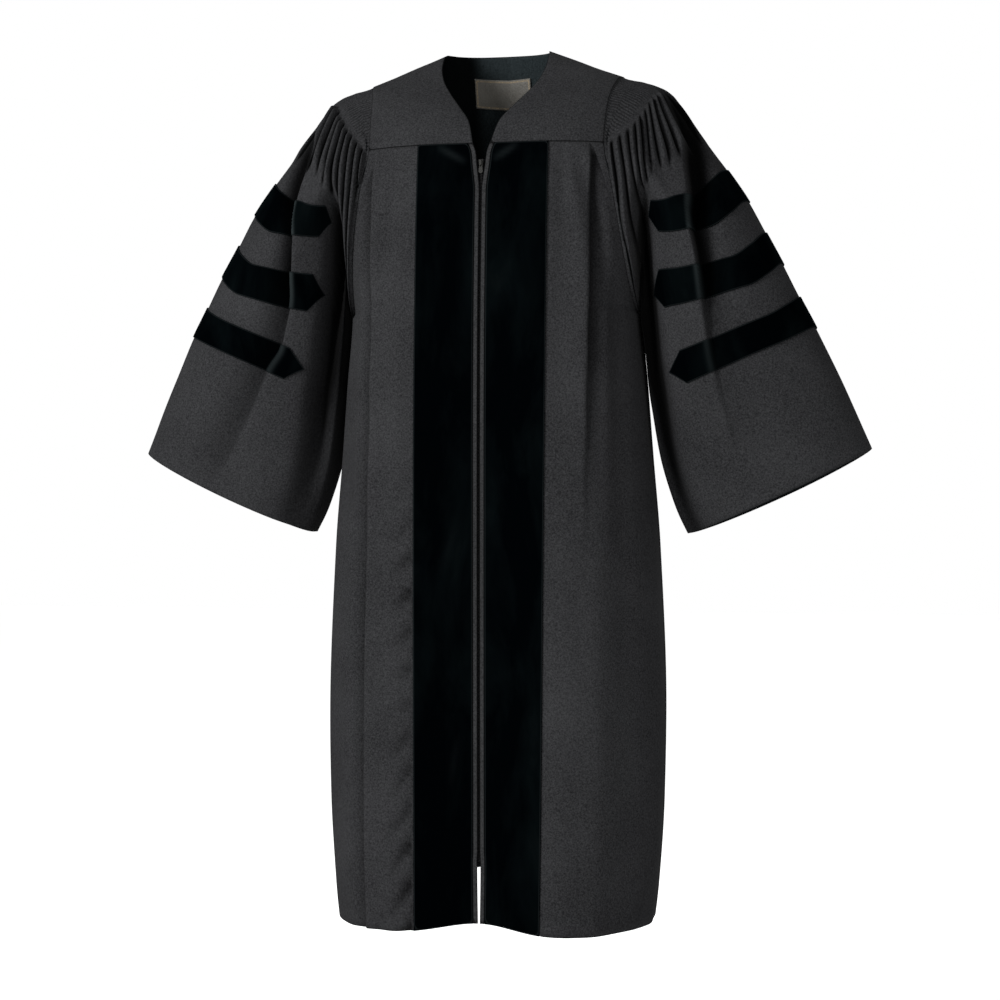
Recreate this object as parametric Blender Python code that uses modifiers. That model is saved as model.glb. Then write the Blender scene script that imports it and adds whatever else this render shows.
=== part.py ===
"""Doctoral graduation gown, hanging as it is worn. Metres, +Z up, the front faces -Y.

The origin is midway between the two points where the shoulder seams meet the neck.
The wearer's left is +X. Every panel is a thin cloth wall through sections worked out
from the sizes below; the hard pieces are the zip's slider and its pull tab.
"""

import math
from collections import namedtuple

import bmesh
import bpy
from mathutils import Vector

# Cloth and seams
WALL = 0.0012
VELVET_WALL = 0.0014
SEAM_GAP = 0.0007
ARMHOLE_GAP = 0.0015
SIDE_GAP = 0.0009
SHOULDER_GAP = 0.0014
LAY_GAP = 0.0005
BAR_LAY_GAP = 0.0009

# Heights, below the neck points
YOKE_SEAM_Z = -0.157
BACK_YOKE_SEAM_Z = -0.150
UNDERARM_Z = -0.400
HEM_Z = -1.285
HEM_RISE = 0.010
HEM_RISE_HALF_WIDTH = 0.070
BACK_HEM_RISE = 0.042

# Body sections: squareness of the quarter turns, and where the front is fullest
BODY_POWER = 2 / 2.5
CROWN_AT = 0.58
Section = namedtuple("Section", "z half_width centre crown back")
BODY_SECTIONS = (
    Section(-0.130, 0.228, 0.1265, 0.131, 0.114),
    Section(-0.157, 0.225, 0.1280, 0.134, 0.118),
    Section(-0.260, 0.214, 0.1370, 0.148, 0.128),
    Section(-0.400, 0.216, 0.1450, 0.160, 0.134),
    Section(-0.500, 0.224, 0.1480, 0.166, 0.138),
    Section(-0.600, 0.2315, 0.1490, 0.171, 0.142),
    Section(-0.740, 0.2425, 0.1490, 0.177, 0.147),
    Section(-0.970, 0.2510, 0.1480, 0.184, 0.154),
    Section(-1.110, 0.2485, 0.1470, 0.188, 0.157),
    Section(-1.240, 0.2400, 0.1460, 0.192, 0.158),
    Section(-1.300, 0.2330, 0.1460, 0.194, 0.158),
)

# Neckline: half width, depth toward the front and height, from the neck point to the zip
Neck = namedtuple("Neck", "x y z")
FRONT_NECK = (
    Neck(0.0780, 0.000, 0.000),
    Neck(0.0795, -0.014, -0.007),
    Neck(0.0790, -0.031, -0.024),
    Neck(0.0730, -0.049, -0.047),
    Neck(0.0595, -0.068, -0.070),
    Neck(0.0390, -0.092, -0.0975),
    Neck(0.0215, -0.111, -0.123),
    Neck(0.0125, -0.128, -0.157),
)
BACK_NECK = (
    Neck(0.0780, 0.000, 0.000),
    Neck(0.0750, 0.030, 0.005),
    Neck(0.0610, 0.058, 0.009),
    Neck(0.0340, 0.076, 0.0115),
    Neck(0.0000, 0.082, 0.0125),
)

# Front edge: half gap between the two fronts, by height
Edge = namedtuple("Edge", "z half_gap")
FRONT_EDGE = (
    Edge(-0.157, 0.0125),
    Edge(-0.171, 0.0078),
    Edge(-0.190, 0.0058),
    Edge(-0.203, 0.0040),
    Edge(-0.226, 0.0018),
    Edge(-1.185, 0.0018),
    Edge(-1.195, 0.0026),
    Edge(-1.285, 0.0016),
)
STRIP_WIDTH = 0.0072
VELVET_OUTER_LEFT = 0.0975
VELVET_OUTER_RIGHT = 0.0940
VELVET_SPANS = 4
PANEL_SPANS = 10
EVEN_SHARE = 0.7
FRONT_UPPER_ROWS = (-0.171, -0.190, -0.203, -0.226, -0.262, -0.300, -0.338, -0.368, -0.390)
FRONT_LOWER_ROWS = 9
EDGE_FADE = 0.03
ARC_STEP = 0.002
BODY_LINE_STEPS = 90

# Armhole: an upright oval, its side-to-side place by angle from the underarm to the top
ARMHOLE_TOP_Z = -0.044
ARMHOLE_FRONT = 0.110
ARMHOLE_BACK = 0.108
CORNER_ANGLE = 21.4
BACK_CORNER_ANGLE = 24.0
Arm = namedtuple("Arm", "angle x")
ARMHOLE_X = (
    Arm(-90, 0.2160),
    Arm(-60, 0.2085),
    Arm(-30, 0.2000),
    Arm(0, 0.1865),
    Arm(22, 0.1740),
    Arm(45, 0.1765),
    Arm(70, 0.1850),
    Arm(90, 0.1900),
)

# Shoulder seam of the yoke, from the neck point to the top of the armhole
Seam = namedtuple("Seam", "share drop")
SHOULDER_DROP = (Seam(0.0, 0.0), Seam(0.4, 0.40), Seam(0.7, 0.72), Seam(1.0, 1.0))
YOKE_FULLNESS = 0.004
YOKE_SPANS = 9
YOKE_ROWS = 7
BACK_YOKE_SPANS = 10
BACK_YOKE_LENGTH = 0.17

# Sleeve stations, from the armhole to the cuff. Outer is the fold along the top of the arm
# and inner the fold under it; straight is how evenly a ring falls from outer to inner, bow
# how far its upper front swings in to the yoke, corner the angle that the cloth from the
# yoke's corner reaches, and power how round a ring is; rib, pleat and fold are the heights
# of those three forms.
Station = namedtuple(
    "Station",
    "name outer_x outer_z inner_x inner_z straight bow front back corner power rib pleat fold",
)
STATIONS = (
    Station("armhole", 0.190, -0.044, 0.2160, -0.400, 1.00, 0.000, 0.110, 0.108, 21, 1.00, 0.0, 0.0, 0.0),
    Station("gauging", 0.221, -0.054, 0.2175, -0.403, 1.00, 0.0415, 0.111, 0.108, 23, 1.00, 0.0006, 0.0, 0.0),
    Station("released", 0.251, -0.065, 0.2190, -0.407, 0.95, 0.060, 0.113, 0.109, 22, 0.96, 0.0004, 0.0010, 0.0),
    Station("below", 0.274, -0.091, 0.2205, -0.411, 0.62, 0.054, 0.114, 0.109, 14, 0.90, 0.0, 0.0040, 0.1),
    Station("upper", 0.304, -0.134, 0.2215, -0.416, 0.32, 0.044, 0.113, 0.108, 0, 0.82, 0.0, 0.0048, 0.5),
    Station("above_bar", 0.324, -0.162, 0.2220, -0.419, 0.22, 0.037, 0.112, 0.107, -12, 0.78, 0.0, 0.0030, 0.8),
    Station("bar_1_top", 0.3430, -0.188, 0.2224, -0.423, 0.14, 0.030, 0.110, 0.105, -20, 0.74, 0.0, 0.0, 1.0),
    Station("bar_1_end", 0.3735, -0.234, 0.2228, -0.436, 0.16, 0.020, 0.107, 0.103, -24, 0.70, 0.0, 0.0, 1.0),
    Station("bar_2_top", 0.3985, -0.281, 0.2240, -0.454, 0.26, 0.012, 0.104, 0.100, -34, 0.70, 0.0, 0.0, 0.9),
    Station("bar_2_end", 0.4230, -0.326, 0.2264, -0.482, 0.40, 0.004, 0.100, 0.097, -40, 0.70, 0.0, 0.0, 0.8),
    Station("bar_3_top", 0.4475, -0.3755, 0.2298, -0.516, 0.66, 0.0, 0.097, 0.094, -40, 0.72, 0.0, 0.0, 0.7),
    Station("bar_3_end", 0.4705, -0.4195, 0.2352, -0.550, 0.78, 0.0, 0.093, 0.090, -40, 0.74, 0.0, 0.0, 0.6),
    Station("forearm", 0.5015, -0.4850, 0.2460, -0.612, 0.94, 0.0, 0.088, 0.085, -40, 0.80, 0.0, 0.0, 0.45),
    Station("near_cuff", 0.5330, -0.5560, 0.2680, -0.684, 1.00, 0.0, 0.083, 0.080, -40, 0.90, 0.0, 0.0, 0.22),
    Station("cuff", 0.5500, -0.5955, 0.2840, -0.718, 1.00, 0.0, 0.080, 0.077, -40, 0.96, 0.0, 0.0, 0.12),
)
FALL_POWER = 20
CUFF_BOW_LEFT = 0.010
CUFF_BOW_RIGHT = 0.004
BOW_FROM = -0.45
BOW_OVER = 0.2
HEAD_STAND = 0.0015
Bow = namedtuple("Bow", "angle share")
BOW_SHAPE = (
    Bow(-90, 0.0),
    Bow(-60, 0.10),
    Bow(-30, 0.32),
    Bow(0, 0.66),
    Bow(26, 1.0),
    Bow(45, 0.74),
    Bow(60, 0.47),
    Bow(90, 0.0),
)

# How far the front of each sleeve hangs below its outer fold, by station and round a ring
Sag = namedtuple("Sag", "along left right")
FRONT_SAG = (
    Sag(3, 0.000, 0.000),
    Sag(4, 0.015, 0.012),
    Sag(5, 0.030, 0.025),
    Sag(6, 0.042, 0.034),
    Sag(7, 0.042, 0.034),
    Sag(8, 0.036, 0.031),
    Sag(9, 0.028, 0.026),
    Sag(10, 0.014, 0.006),
    Sag(11, 0.007, 0.000),
    Sag(12, 0.000, 0.000),
)
SAG_SHAPE = (
    Bow(-90, 0.0),
    Bow(-54, 0.30),
    Bow(-36, 0.58),
    Bow(-18, 0.78),
    Bow(5, 0.90),
    Bow(35, 0.94),
    Bow(60, 0.50),
    Bow(76, 0.14),
    Bow(90, 0.0),
)
FOLD_SOFTENING = 0.12
FOLD_SHIFT_FROM = 0.4
FOLD_SHIFT_OVER = 0.4
UNDERARM_COLUMNS = 6
HEAD_COLUMNS = 36
COLUMNS_A_RIB = 2
COLUMNS_A_PLEAT = 3
LOWER_COLUMNS = 20
FIRST_LOWER = "bar_1_top"

# Large folds of the sleeves: angle on the ring near the top and at the cuff, half width,
# height (less than 0 is a trough), and the share of the length where the fold starts and ends
Fold = namedtuple("Fold", "angle lower_angle half_width height start end")
RIGHT_FRONT_FOLDS = (
    Fold(-79, -77, 8, 0.026, 0.10, 1.00),
    Fold(-60, -52, 9, -0.046, 0.05, 1.00),
    Fold(2, 2, 7, 0.007, 0.12, 0.62),
    Fold(22, 22, 11, -0.012, 0.12, 0.60),
)
LEFT_FRONT_FOLDS = (
    Fold(-79, -79, 8, 0.022, 0.10, 1.00),
    Fold(-63, -60, 9, -0.036, 0.05, 1.00),
    Fold(4, 4, 8, 0.008, 0.12, 0.66),
    Fold(21, 21, 10, -0.020, 0.10, 0.60),
)
BACK_FOLDS = (
    Fold(-79, -79, 8, 0.020, 0.10, 1.00),
    Fold(-62, -62, 10, -0.034, 0.05, 1.00),
    Fold(14, 14, 11, -0.013, 0.12, 0.62),
    Fold(40, 40, 10, 0.006, 0.12, 0.55),
)

# Bars of velvet round each sleeve, pointed at both ends: the angles that the front and
# back points reach, and how many columns a point tapers over
Bar = namedtuple("Bar", "side name number front_angle back_angle")
BARS = (
    Bar(1, "left", 1, -45, -54),
    Bar(1, "left", 2, -54, -54),
    Bar(1, "left", 3, -45, -45),
    Bar(-1, "right", 1, -45, -54),
    Bar(-1, "right", 2, -45, -54),
    Bar(-1, "right", 3, -36, -45),
)
POINT_COLUMNS = 1.5

# Back: cartridge pleats across the middle, let out below the gauging
BACK_PLEATS = 16
COLUMNS_A_BACK_PLEAT = 3
BACK_PLEAT_HALF_WIDTH = 0.128
BACK_SIDE_COLUMNS = 6
BACK_LOWER_COLUMNS = 28
BackRow = namedtuple("BackRow", "z pleat")
BACK_PLEAT_HEIGHTS = (
    BackRow(-0.150, 0.0006),
    BackRow(-0.180, 0.0010),
    BackRow(-0.215, 0.0034),
    BackRow(-0.270, 0.0050),
    BackRow(-0.340, 0.0054),
    BackRow(-0.400, 0.0050),
)
BACK_UPPER_ROWS = (-0.180, -0.215, -0.270, -0.335, -0.372, -0.3925)
BACK_LOWER_ROWS = 8
BACK_WAVES = 4.5
BACK_WAVE_HEIGHT = 0.007
BACK_WAVE_FROM = -0.30
BACK_WAVE_OVER = 0.75
BACK_WAVE_FADE = 0.25
BACK_RISE_FROM = -0.7

# Folds of the fronts: which column of the plain panel each runs down, and its height
Crease = namedtuple("Crease", "side column half_width height top_share hem_share")
FRONT_CREASES = (
    Crease(1, 3, 0.8, 0.0045, 1.0, 0.6),
    Crease(1, 5, 1.0, -0.0045, 1.0, 0.6),
    Crease(-1, 4, 0.8, 0.0035, 1.0, 0.8),
    Crease(-1, 2, 1.0, -0.0030, 0.4, 1.0),
    Crease(1, 8, 0.9, 0.0030, 0.4, 1.0),
)

# Zip: tape and chain behind the front edges, slider and pull tab at the bottom of the V
TAPE_HALF_WIDTH = 0.013
TAPE_WALL = 0.0008
TAPE_SET_BACK = 0.0034
CHAIN_HALF_WIDTH = 0.0025
CHAIN_WALL = 0.0012
CHAIN_SET_BACK = 0.0017
ZIP_TOP_Z = -0.1785
CHAIN_TOP_Z = -0.1925
ZIP_END_Z = -1.199
SLIDER_Z = -0.1860
SLIDER_SIZE = (0.0072, 0.0040, 0.0100)
SLIDER_AHEAD = 0.0016
SLIDER_TAPER = 0.72
SLIDER_EDGE = 0.0007
ZIP_ROWS = 18
BRIDGE_WIDTH = 0.0014
BRIDGE_BAR = 0.0010
BRIDGE_ROOM = 0.0019
BRIDGE_HALF_HEIGHT = 0.0030
BRIDGE_SUNK = 0.0008
BRIDGE_CORNER = 0.0006
PULL_WALL = 0.0007
PULL_LENGTH = 0.0135
PULL_HALF_WIDTH = 0.0030
PULL_NECK_HALF_WIDTH = 0.0019
EYE_HALF_WIDTH = 0.0011
EYE_LENGTH = 0.0036
EYE_BAR = 0.0007
EYE_PLAY = 0.0003
PULL_END_STEPS = 12

# Neck label on the inside of the back yoke
LABEL_WIDTH = 0.088
LABEL_HEIGHT = 0.048
LABEL_WALL = 0.0008
LABEL_CENTRE_X = -0.010
LABEL_CENTRE_ROW = 0.640
LABEL_SPANS = 6
LABEL_ROWS = 4
LABEL_STAND = 0.0006

# Colours: red, green, blue, roughness, metallic
CLOTH = (0.045, 0.046, 0.048, 0.85, 0.0)
VELVET = (0.006, 0.008, 0.009, 0.95, 0.0)
EDGING = (0.060, 0.060, 0.062, 0.80, 0.0)
TAPE = (0.012, 0.012, 0.013, 0.80, 0.0)
METAL = (0.300, 0.300, 0.290, 0.35, 1.0)
LABEL = (0.085, 0.080, 0.070, 0.75, 0.0)

START_ANGLE = -90.0
TOP_ANGLE = 90.0
SMALL_ANGLE = 1e-4
SAME_POINT = 1e-6
HALVINGS = 24


def smooth_value(knots, values, at):
    """A cubic through the values at the knots, with no overshoot, held level past the ends."""
    rising = knots[-1] > knots[0]
    if not rising:
        knots = knots[::-1]
        values = values[::-1]
    if at <= knots[0]:
        return values[0]
    if at >= knots[-1]:
        return values[-1]
    place = max(i for i, knot in enumerate(knots[:-1]) if knot <= at)
    steps = [b - a for a, b in zip(knots, knots[1:])]
    slopes = [(b - a) / step for a, b, step in zip(values, values[1:], steps)]

    def tangent(i):
        if i in (0, len(knots) - 1):
            return slopes[min(i, len(slopes) - 1)]
        before, after = slopes[i - 1], slopes[i]
        if before * after <= 0:
            return 0.0
        return 2 * before * after / (before + after)

    step = steps[place]
    t = (at - knots[place]) / step
    a, b = values[place], values[place + 1]
    ta, tb = tangent(place) * step, tangent(place + 1) * step
    return (
        a * (2 * t**3 - 3 * t**2 + 1)
        + ta * (t**3 - 2 * t**2 + t)
        + b * (3 * t**2 - 2 * t**3)
        + tb * (t**3 - t**2)
    )


def column(rows, key, value, at):
    """One named column of a table, read smoothly at a value of its key column."""
    knots = [getattr(row, key) for row in rows]
    return smooth_value(knots, [getattr(row, value) for row in rows], at)


def smoothstep(t):
    t = min(max(t, 0.0), 1.0)
    return t * t * (3 - 2 * t)


def bump(distance, half_width):
    """A soft ridge of height 1 at distance 0."""
    return math.exp(-((distance / half_width) ** 2))


def signed_power(value, power):
    return math.copysign(abs(value) ** power, value)


def body_point(z, turn):
    """The body's right-hand half: turn 0 is the front centre, 1 the side, 2 the back centre."""
    angle = turn * math.pi / 2
    x = column(BODY_SECTIONS, "z", "half_width", z) * signed_power(math.sin(angle), BODY_POWER)
    if turn <= 1:
        centre = column(BODY_SECTIONS, "z", "centre", z)
        crown = column(BODY_SECTIONS, "z", "crown", z)
        width = column(BODY_SECTIONS, "z", "half_width", z)
        depth = centre + (crown - centre) * smoothstep(x / width / CROWN_AT)
    else:
        depth = column(BODY_SECTIONS, "z", "back", z)
    y = -depth * signed_power(math.cos(angle), BODY_POWER)
    return Vector((x, y, z))


def armhole_point(angle, front):
    """The armhole seam: -90 degrees is the underarm and 90 the top of the shoulder."""
    radians = math.radians(angle)
    middle = (ARMHOLE_TOP_Z + UNDERARM_Z) / 2
    half = (ARMHOLE_TOP_Z - UNDERARM_Z) / 2
    depth = -ARMHOLE_FRONT if front else ARMHOLE_BACK
    x = column(ARMHOLE_X, "angle", "x", angle)
    return Vector((x, depth * math.cos(radians), middle + half * math.sin(radians)))


def underarm_angles(corner):
    """Angles of the columns from the underarm up to where the gathered head starts."""
    return [START_ANGLE + (corner - START_ANGLE) * i / UNDERARM_COLUMNS for i in range(UNDERARM_COLUMNS + 1)]


def armhole_at(z, front):
    """The armhole seam at a height, straight from column to column below its corner."""
    knots = [armhole_point(angle, front) for angle in underarm_angles(STATIONS[0].corner)]
    for below, above in zip(knots, knots[1:]):
        if z <= above.z:
            share = max(z - below.z, 0.0) / (above.z - below.z)
            return below.lerp(above, share)
    middle = (ARMHOLE_TOP_Z + UNDERARM_Z) / 2
    half = (ARMHOLE_TOP_Z - UNDERARM_Z) / 2
    return armhole_point(math.degrees(math.asin((z - middle) / half)), front)


def turn_where(z, wanted_x, front):
    """The turn at which a body section reaches a given distance from the centre."""
    width = column(BODY_SECTIONS, "z", "half_width", z)
    share = min(wanted_x / width, 1.0) ** (1 / BODY_POWER)
    turn = math.asin(share) / (math.pi / 2)
    return turn if front else 2 - turn


def body_line(z, front):
    """Points of a half section from the centre to the side seam or, above the underarm, to
    the armhole."""
    if z > UNDERARM_Z:
        end = armhole_at(z, front)
        end.x -= ARMHOLE_GAP / 2
    else:
        end = body_point(z, 1.0)
        end.y = -SIDE_GAP / 2 if front else SIDE_GAP / 2
    last = turn_where(z, end.x, front)
    first = 0.0 if front else 2.0
    miss = end - body_point(z, last)
    points = []
    for step in range(BODY_LINE_STEPS + 1):
        share = step / BODY_LINE_STEPS
        point = body_point(z, first + (last - first) * share)
        points.append(point + miss * share**3)
    return points


def arcs_of(points):
    arcs = [0.0]
    for a, b in zip(points, points[1:]):
        arcs.append(arcs[-1] + (b - a).length)
    return arcs


def point_at_arc(points, arcs, arc):
    """The point at a distance along a line of points."""
    arc = min(max(arc, 0.0), arcs[-1])
    for i in range(len(points) - 1):
        if arc <= arcs[i + 1]:
            share = (arc - arcs[i]) / (arcs[i + 1] - arcs[i])
            return points[i].lerp(points[i + 1], share)
    return points[-1].copy()


def normals_of(grid):
    """Unit normals at the points of a grid, from its neighbours."""
    rows, columns = len(grid), len(grid[0])
    normals = []
    for r in range(rows):
        line = []
        for c in range(columns):
            down = grid[min(r + 1, rows - 1)][c] - grid[max(r - 1, 0)][c]
            across = grid[r][min(c + 1, columns - 1)] - grid[r][max(c - 1, 0)]
            line.append(down.cross(across).normalized())
        normals.append(line)
    return normals


def moved_out(grid, distance):
    """A grid of points moved along its outward normals."""
    normals = normals_of(grid)
    return [[p + n * distance for p, n in zip(*rows)] for rows in zip(grid, normals)]


def material(name, colour):
    made = bpy.data.materials.new(name)
    made.use_nodes = True
    shader = made.node_tree.nodes["Principled BSDF"]
    shader.inputs["Base Color"].default_value = (*colour[:3], 1.0)
    shader.inputs["Roughness"].default_value = colour[3]
    shader.inputs["Metallic"].default_value = colour[4]
    made.diffuse_color = (*colour[:3], 1.0)
    return made


def new_object(name, mesh, colour, collection):
    made = bpy.data.objects.new(name, mesh)
    made.data.materials.append(material(name, colour))
    collection.objects.link(made)
    return made


def cloth_wall(made, wall, outward=False):
    thick = made.modifiers.new("wall", "SOLIDIFY")
    thick.thickness = wall
    thick.offset = 1.0 if outward else -1.0
    made.data.shade_smooth()


def cloth_square(shape, corners, side):
    """Two faces on four corners, split the same way on every piece."""
    a, b, c, d = corners
    for face in ((a, b, c), (a, c, d)):
        shape.faces.new(face if side > 0 else face[::-1])


def grid_object(name, grid, side, wall, colour, collection, outward=False):
    """A cloth wall on a grid of points, rows down and columns away from the centre front.
    The wearer's right side mirrors the left. A column that has no height closes in a point."""
    shape = bmesh.new()
    rows = [[shape.verts.new((side * p.x, p.y, p.z)) for p in row] for row in grid]
    for above, below in zip(rows, rows[1:]):
        for c in range(len(above) - 1):
            cloth_square(shape, (above[c], below[c], below[c + 1], above[c + 1]), side)
    bmesh.ops.remove_doubles(shape, verts=shape.verts, dist=SAME_POINT)
    mesh = bpy.data.meshes.new(name)
    shape.to_mesh(mesh)
    shape.free()
    made = new_object(name, mesh, colour, collection)
    cloth_wall(made, wall, outward)
    return made


def crease_height(side, place, z):
    """How far the folds of a front stand out at a column of its plain panel."""
    down = smoothstep((YOKE_SEAM_Z - z) / (YOKE_SEAM_Z - HEM_Z))
    height = 0.0
    for crease in FRONT_CREASES:
        if crease.side == side:
            share = crease.top_share + (crease.hem_share - crease.top_share) * down
            height += crease.height * share * bump(place - crease.column, crease.half_width)
    return height


def front_rows():
    return [YOKE_SEAM_Z - SEAM_GAP / 2, *FRONT_UPPER_ROWS, *lower_heights(FRONT_LOWER_ROWS)]


def lower_heights(rows):
    """Evenly spaced heights from the underarm to the hem."""
    return [UNDERARM_Z + (HEM_Z - UNDERARM_Z) * i / rows for i in range(rows + 1)]


def velvet_outer(side):
    return VELVET_OUTER_LEFT if side > 0 else VELVET_OUTER_RIGHT


def front_columns(side, z):
    """Distances along the cloth from the centre: the edge, the strip and the velvet."""
    gap = column(FRONT_EDGE, "z", "half_gap", z)
    velvet_inner = gap + STRIP_WIDTH
    step = (velvet_outer(side) - velvet_inner) / VELVET_SPANS
    return [gap] + [velvet_inner + step * i for i in range(VELVET_SPANS + 1)]


def panel_width(z):
    """The width of half the front, growing evenly from the yoke down to the underarm."""
    if z <= UNDERARM_Z:
        return arcs_of(body_line(z, True))[-1]
    down = (YOKE_SEAM_Z - z) / (YOKE_SEAM_Z - UNDERARM_Z)
    ends = [arcs_of(body_line(at, True))[-1] for at in (YOKE_SEAM_Z, UNDERARM_Z)]
    return ends[0] + (ends[1] - ends[0]) * down


def panel_arc(side, z, end, whole):
    """Where a column of the plain panel lies: evenly spaced, then on to the edge."""
    inner = velvet_outer(side)
    even = inner + (panel_width(z) - inner) * min(whole, EVEN_SHARE)
    return even + (end - even) * max(whole - EVEN_SHARE, 0.0) / (1 - EVEN_SHARE)


def front_surface(side, z, arc, whole=None):
    """A point of a front, for the wearer's left, with its folds and hem. The arc is the
    distance from the centre, or whole the share of the way from the velvet to the side."""
    points = body_line(z, True)
    arcs = arcs_of(points)
    stands = 0.0
    if whole is not None:
        arc = panel_arc(side, z, arcs[-1], whole)
        stands = crease_height(side, whole * PANEL_SPANS, z)
    here = point_at_arc(points, arcs, arc)
    ahead = point_at_arc(points, arcs, arc + ARC_STEP) - point_at_arc(points, arcs, arc - ARC_STEP)
    outward = Vector((ahead.y, -ahead.x, 0.0)).normalized()
    edge = smoothstep((arcs[-1] - arc) / EDGE_FADE)
    here += outward * stands * edge
    down = smoothstep((UNDERARM_Z - z) / (UNDERARM_Z - HEM_Z))
    here.z += HEM_RISE * down * bump(here.x, HEM_RISE_HALF_WIDTH)
    return here


def front_grid(side):
    grid = []
    for z in front_rows():
        row = [front_surface(side, z, arc) for arc in front_columns(side, z)]
        for i in range(1, PANEL_SPANS + 1):
            row.append(front_surface(side, z, 0.0, whole=i / PANEL_SPANS))
        grid.append(row)
    return grid


def build_fronts(collection):
    for side, name in ((1, "left"), (-1, "right")):
        grid = front_grid(side)
        grid_object(f"front_{name}", grid, side, WALL, CLOTH, collection)
        strip, velvet = [], []
        for z in front_rows():
            arcs = front_columns(side, z)
            strip.append([front_surface(side, z, a) for a in (arcs[0], arcs[1] - SEAM_GAP)])
            velvet.append([front_surface(side, z, a) for a in arcs[1:]])
        strip = moved_out(strip, LAY_GAP)
        velvet = moved_out(velvet, LAY_GAP)
        grid_object(f"edge_strip_{name}", strip, side, WALL, EDGING, collection, True)
        grid_object(f"velvet_{name}", velvet, side, VELVET_WALL, VELVET, collection, True)


def back_waves(x, z):
    """Broad soft waves of the lower back."""
    down = smoothstep((BACK_WAVE_FROM - z) / BACK_WAVE_OVER)
    share = x / column(BODY_SECTIONS, "z", "half_width", z)
    fade = smoothstep((1 - abs(share)) / BACK_WAVE_FADE)
    return BACK_WAVE_HEIGHT * down * fade * math.cos(math.pi * BACK_WAVES * share)


def back_surface(x_share, z, pleat_phase=None):
    """A point of the back: x_share runs from -1 at the right seam to 1 at the left seam."""
    points = body_line(z, False)
    arcs = arcs_of(points)
    here = point_at_arc(points, arcs, arcs[-1] * abs(x_share))
    pleat = 0.0
    if pleat_phase is not None:
        pleat = column(BACK_PLEAT_HEIGHTS, "z", "pleat", z) * math.cos(pleat_phase)
    here.y += pleat + back_waves(here.x, z)
    width = column(BODY_SECTIONS, "z", "half_width", z)
    down = smoothstep((BACK_RISE_FROM - z) / (BACK_RISE_FROM - HEM_Z))
    here.z += BACK_HEM_RISE * down * math.cos(math.pi / 2 * min(here.x / width, 1.0)) ** 2
    here.x = math.copysign(here.x, x_share)
    return here


def back_pleat_columns(z):
    """(share, phase) pairs across the back: plain sides and the pleats between them."""
    whole = arcs_of(body_line(z, False))[-1]
    inner = BACK_PLEAT_HALF_WIDTH / whole
    columns = []
    for i in range(BACK_SIDE_COLUMNS):
        columns.append((-1 + (1 - inner) * i / BACK_SIDE_COLUMNS, None))
    count = BACK_PLEATS * COLUMNS_A_BACK_PLEAT
    for i in range(count + 1):
        phase = 2 * math.pi * i / COLUMNS_A_BACK_PLEAT
        columns.append((inner * (2 * i / count - 1), phase + math.pi))
    for i in range(1, BACK_SIDE_COLUMNS + 1):
        columns.append((inner + (1 - inner) * i / BACK_SIDE_COLUMNS, None))
    return columns


def stitch(shape, first, second):
    """Faces between two lines of (place, vertex) pairs, whatever their counts."""
    i = j = 0
    while i < len(first) - 1 or j < len(second) - 1:
        go_first = j == len(second) - 1
        if i < len(first) - 1 and not go_first:
            go_first = first[i + 1][0] + first[i][0] <= second[j + 1][0] + second[j][0]
        if go_first:
            shape.faces.new((first[i][1], second[j][1], first[i + 1][1]))
            i += 1
        else:
            shape.faces.new((first[i][1], second[j][1], second[j + 1][1]))
            j += 1


def rings_object(name, lines, colour, collection, side=1, closed=False):
    """A cloth wall through lines of (place, point) pairs that may differ in count."""
    shape = bmesh.new()
    made_lines = []
    for line in lines:
        made = [(place, shape.verts.new((side * p.x, p.y, p.z))) for place, p in line]
        if closed:
            made.append((line[0][0] + 360.0, made[0][1]))
        made_lines.append(made)
    for above, below in zip(made_lines, made_lines[1:]):
        if len(above) == len(below):
            for c in range(len(above) - 1):
                corners = (above[c][1], below[c][1], below[c + 1][1], above[c + 1][1])
                cloth_square(shape, corners, 1)
        else:
            stitch(shape, above, below)
    if side < 0:
        bmesh.ops.reverse_faces(shape, faces=shape.faces)
    mesh = bpy.data.meshes.new(name)
    shape.to_mesh(mesh)
    shape.free()
    made = new_object(name, mesh, colour, collection)
    cloth_wall(made, WALL)
    return made


def build_back(collection):
    """Lines from the wearer's left seam across to the right, pleated above the underarm."""
    lines = []
    for z in (BACK_YOKE_SEAM_Z - SEAM_GAP / 2, *BACK_UPPER_ROWS, UNDERARM_Z):
        columns = back_pleat_columns(z)[::-1]
        lines.append([(-share, back_surface(share, z, phase)) for share, phase in columns])
    shares = [1 - 2 * i / BACK_LOWER_COLUMNS for i in range(BACK_LOWER_COLUMNS + 1)]
    for z in lower_heights(BACK_LOWER_ROWS)[1:]:
        lines.append([(-share, back_surface(share, z)) for share in shares])
    rings_object("back", lines, CLOTH, collection)


def line_through(points, share):
    """A smooth line through a few points, read at a share of its length."""
    arcs = arcs_of(points)
    at = share * arcs[-1]
    return Vector([smooth_value(arcs, [p[axis] for p in points], at) for axis in range(3)])


def shoulder_point(share):
    neck = Vector(FRONT_NECK[0])
    arm = armhole_point(TOP_ANGLE, True)
    drop = column(SHOULDER_DROP, "share", "drop", share)
    return Vector((neck.x + (arm.x - neck.x) * share, 0.0, neck.z + (arm.z - neck.z) * drop))


def coons(a, b, bottom, top, start, end):
    """A patch between four edge lines, each a function of a share from 0 to 1."""
    flat = (
        bottom(0.0) * (1 - a) * (1 - b)
        + bottom(1.0) * a * (1 - b)
        + top(0.0) * (1 - a) * b
        + top(1.0) * a * b
    )
    return (
        bottom(a) * (1 - b) + top(a) * b + start(b) * (1 - a) + end(b) * a - flat
    )


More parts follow.
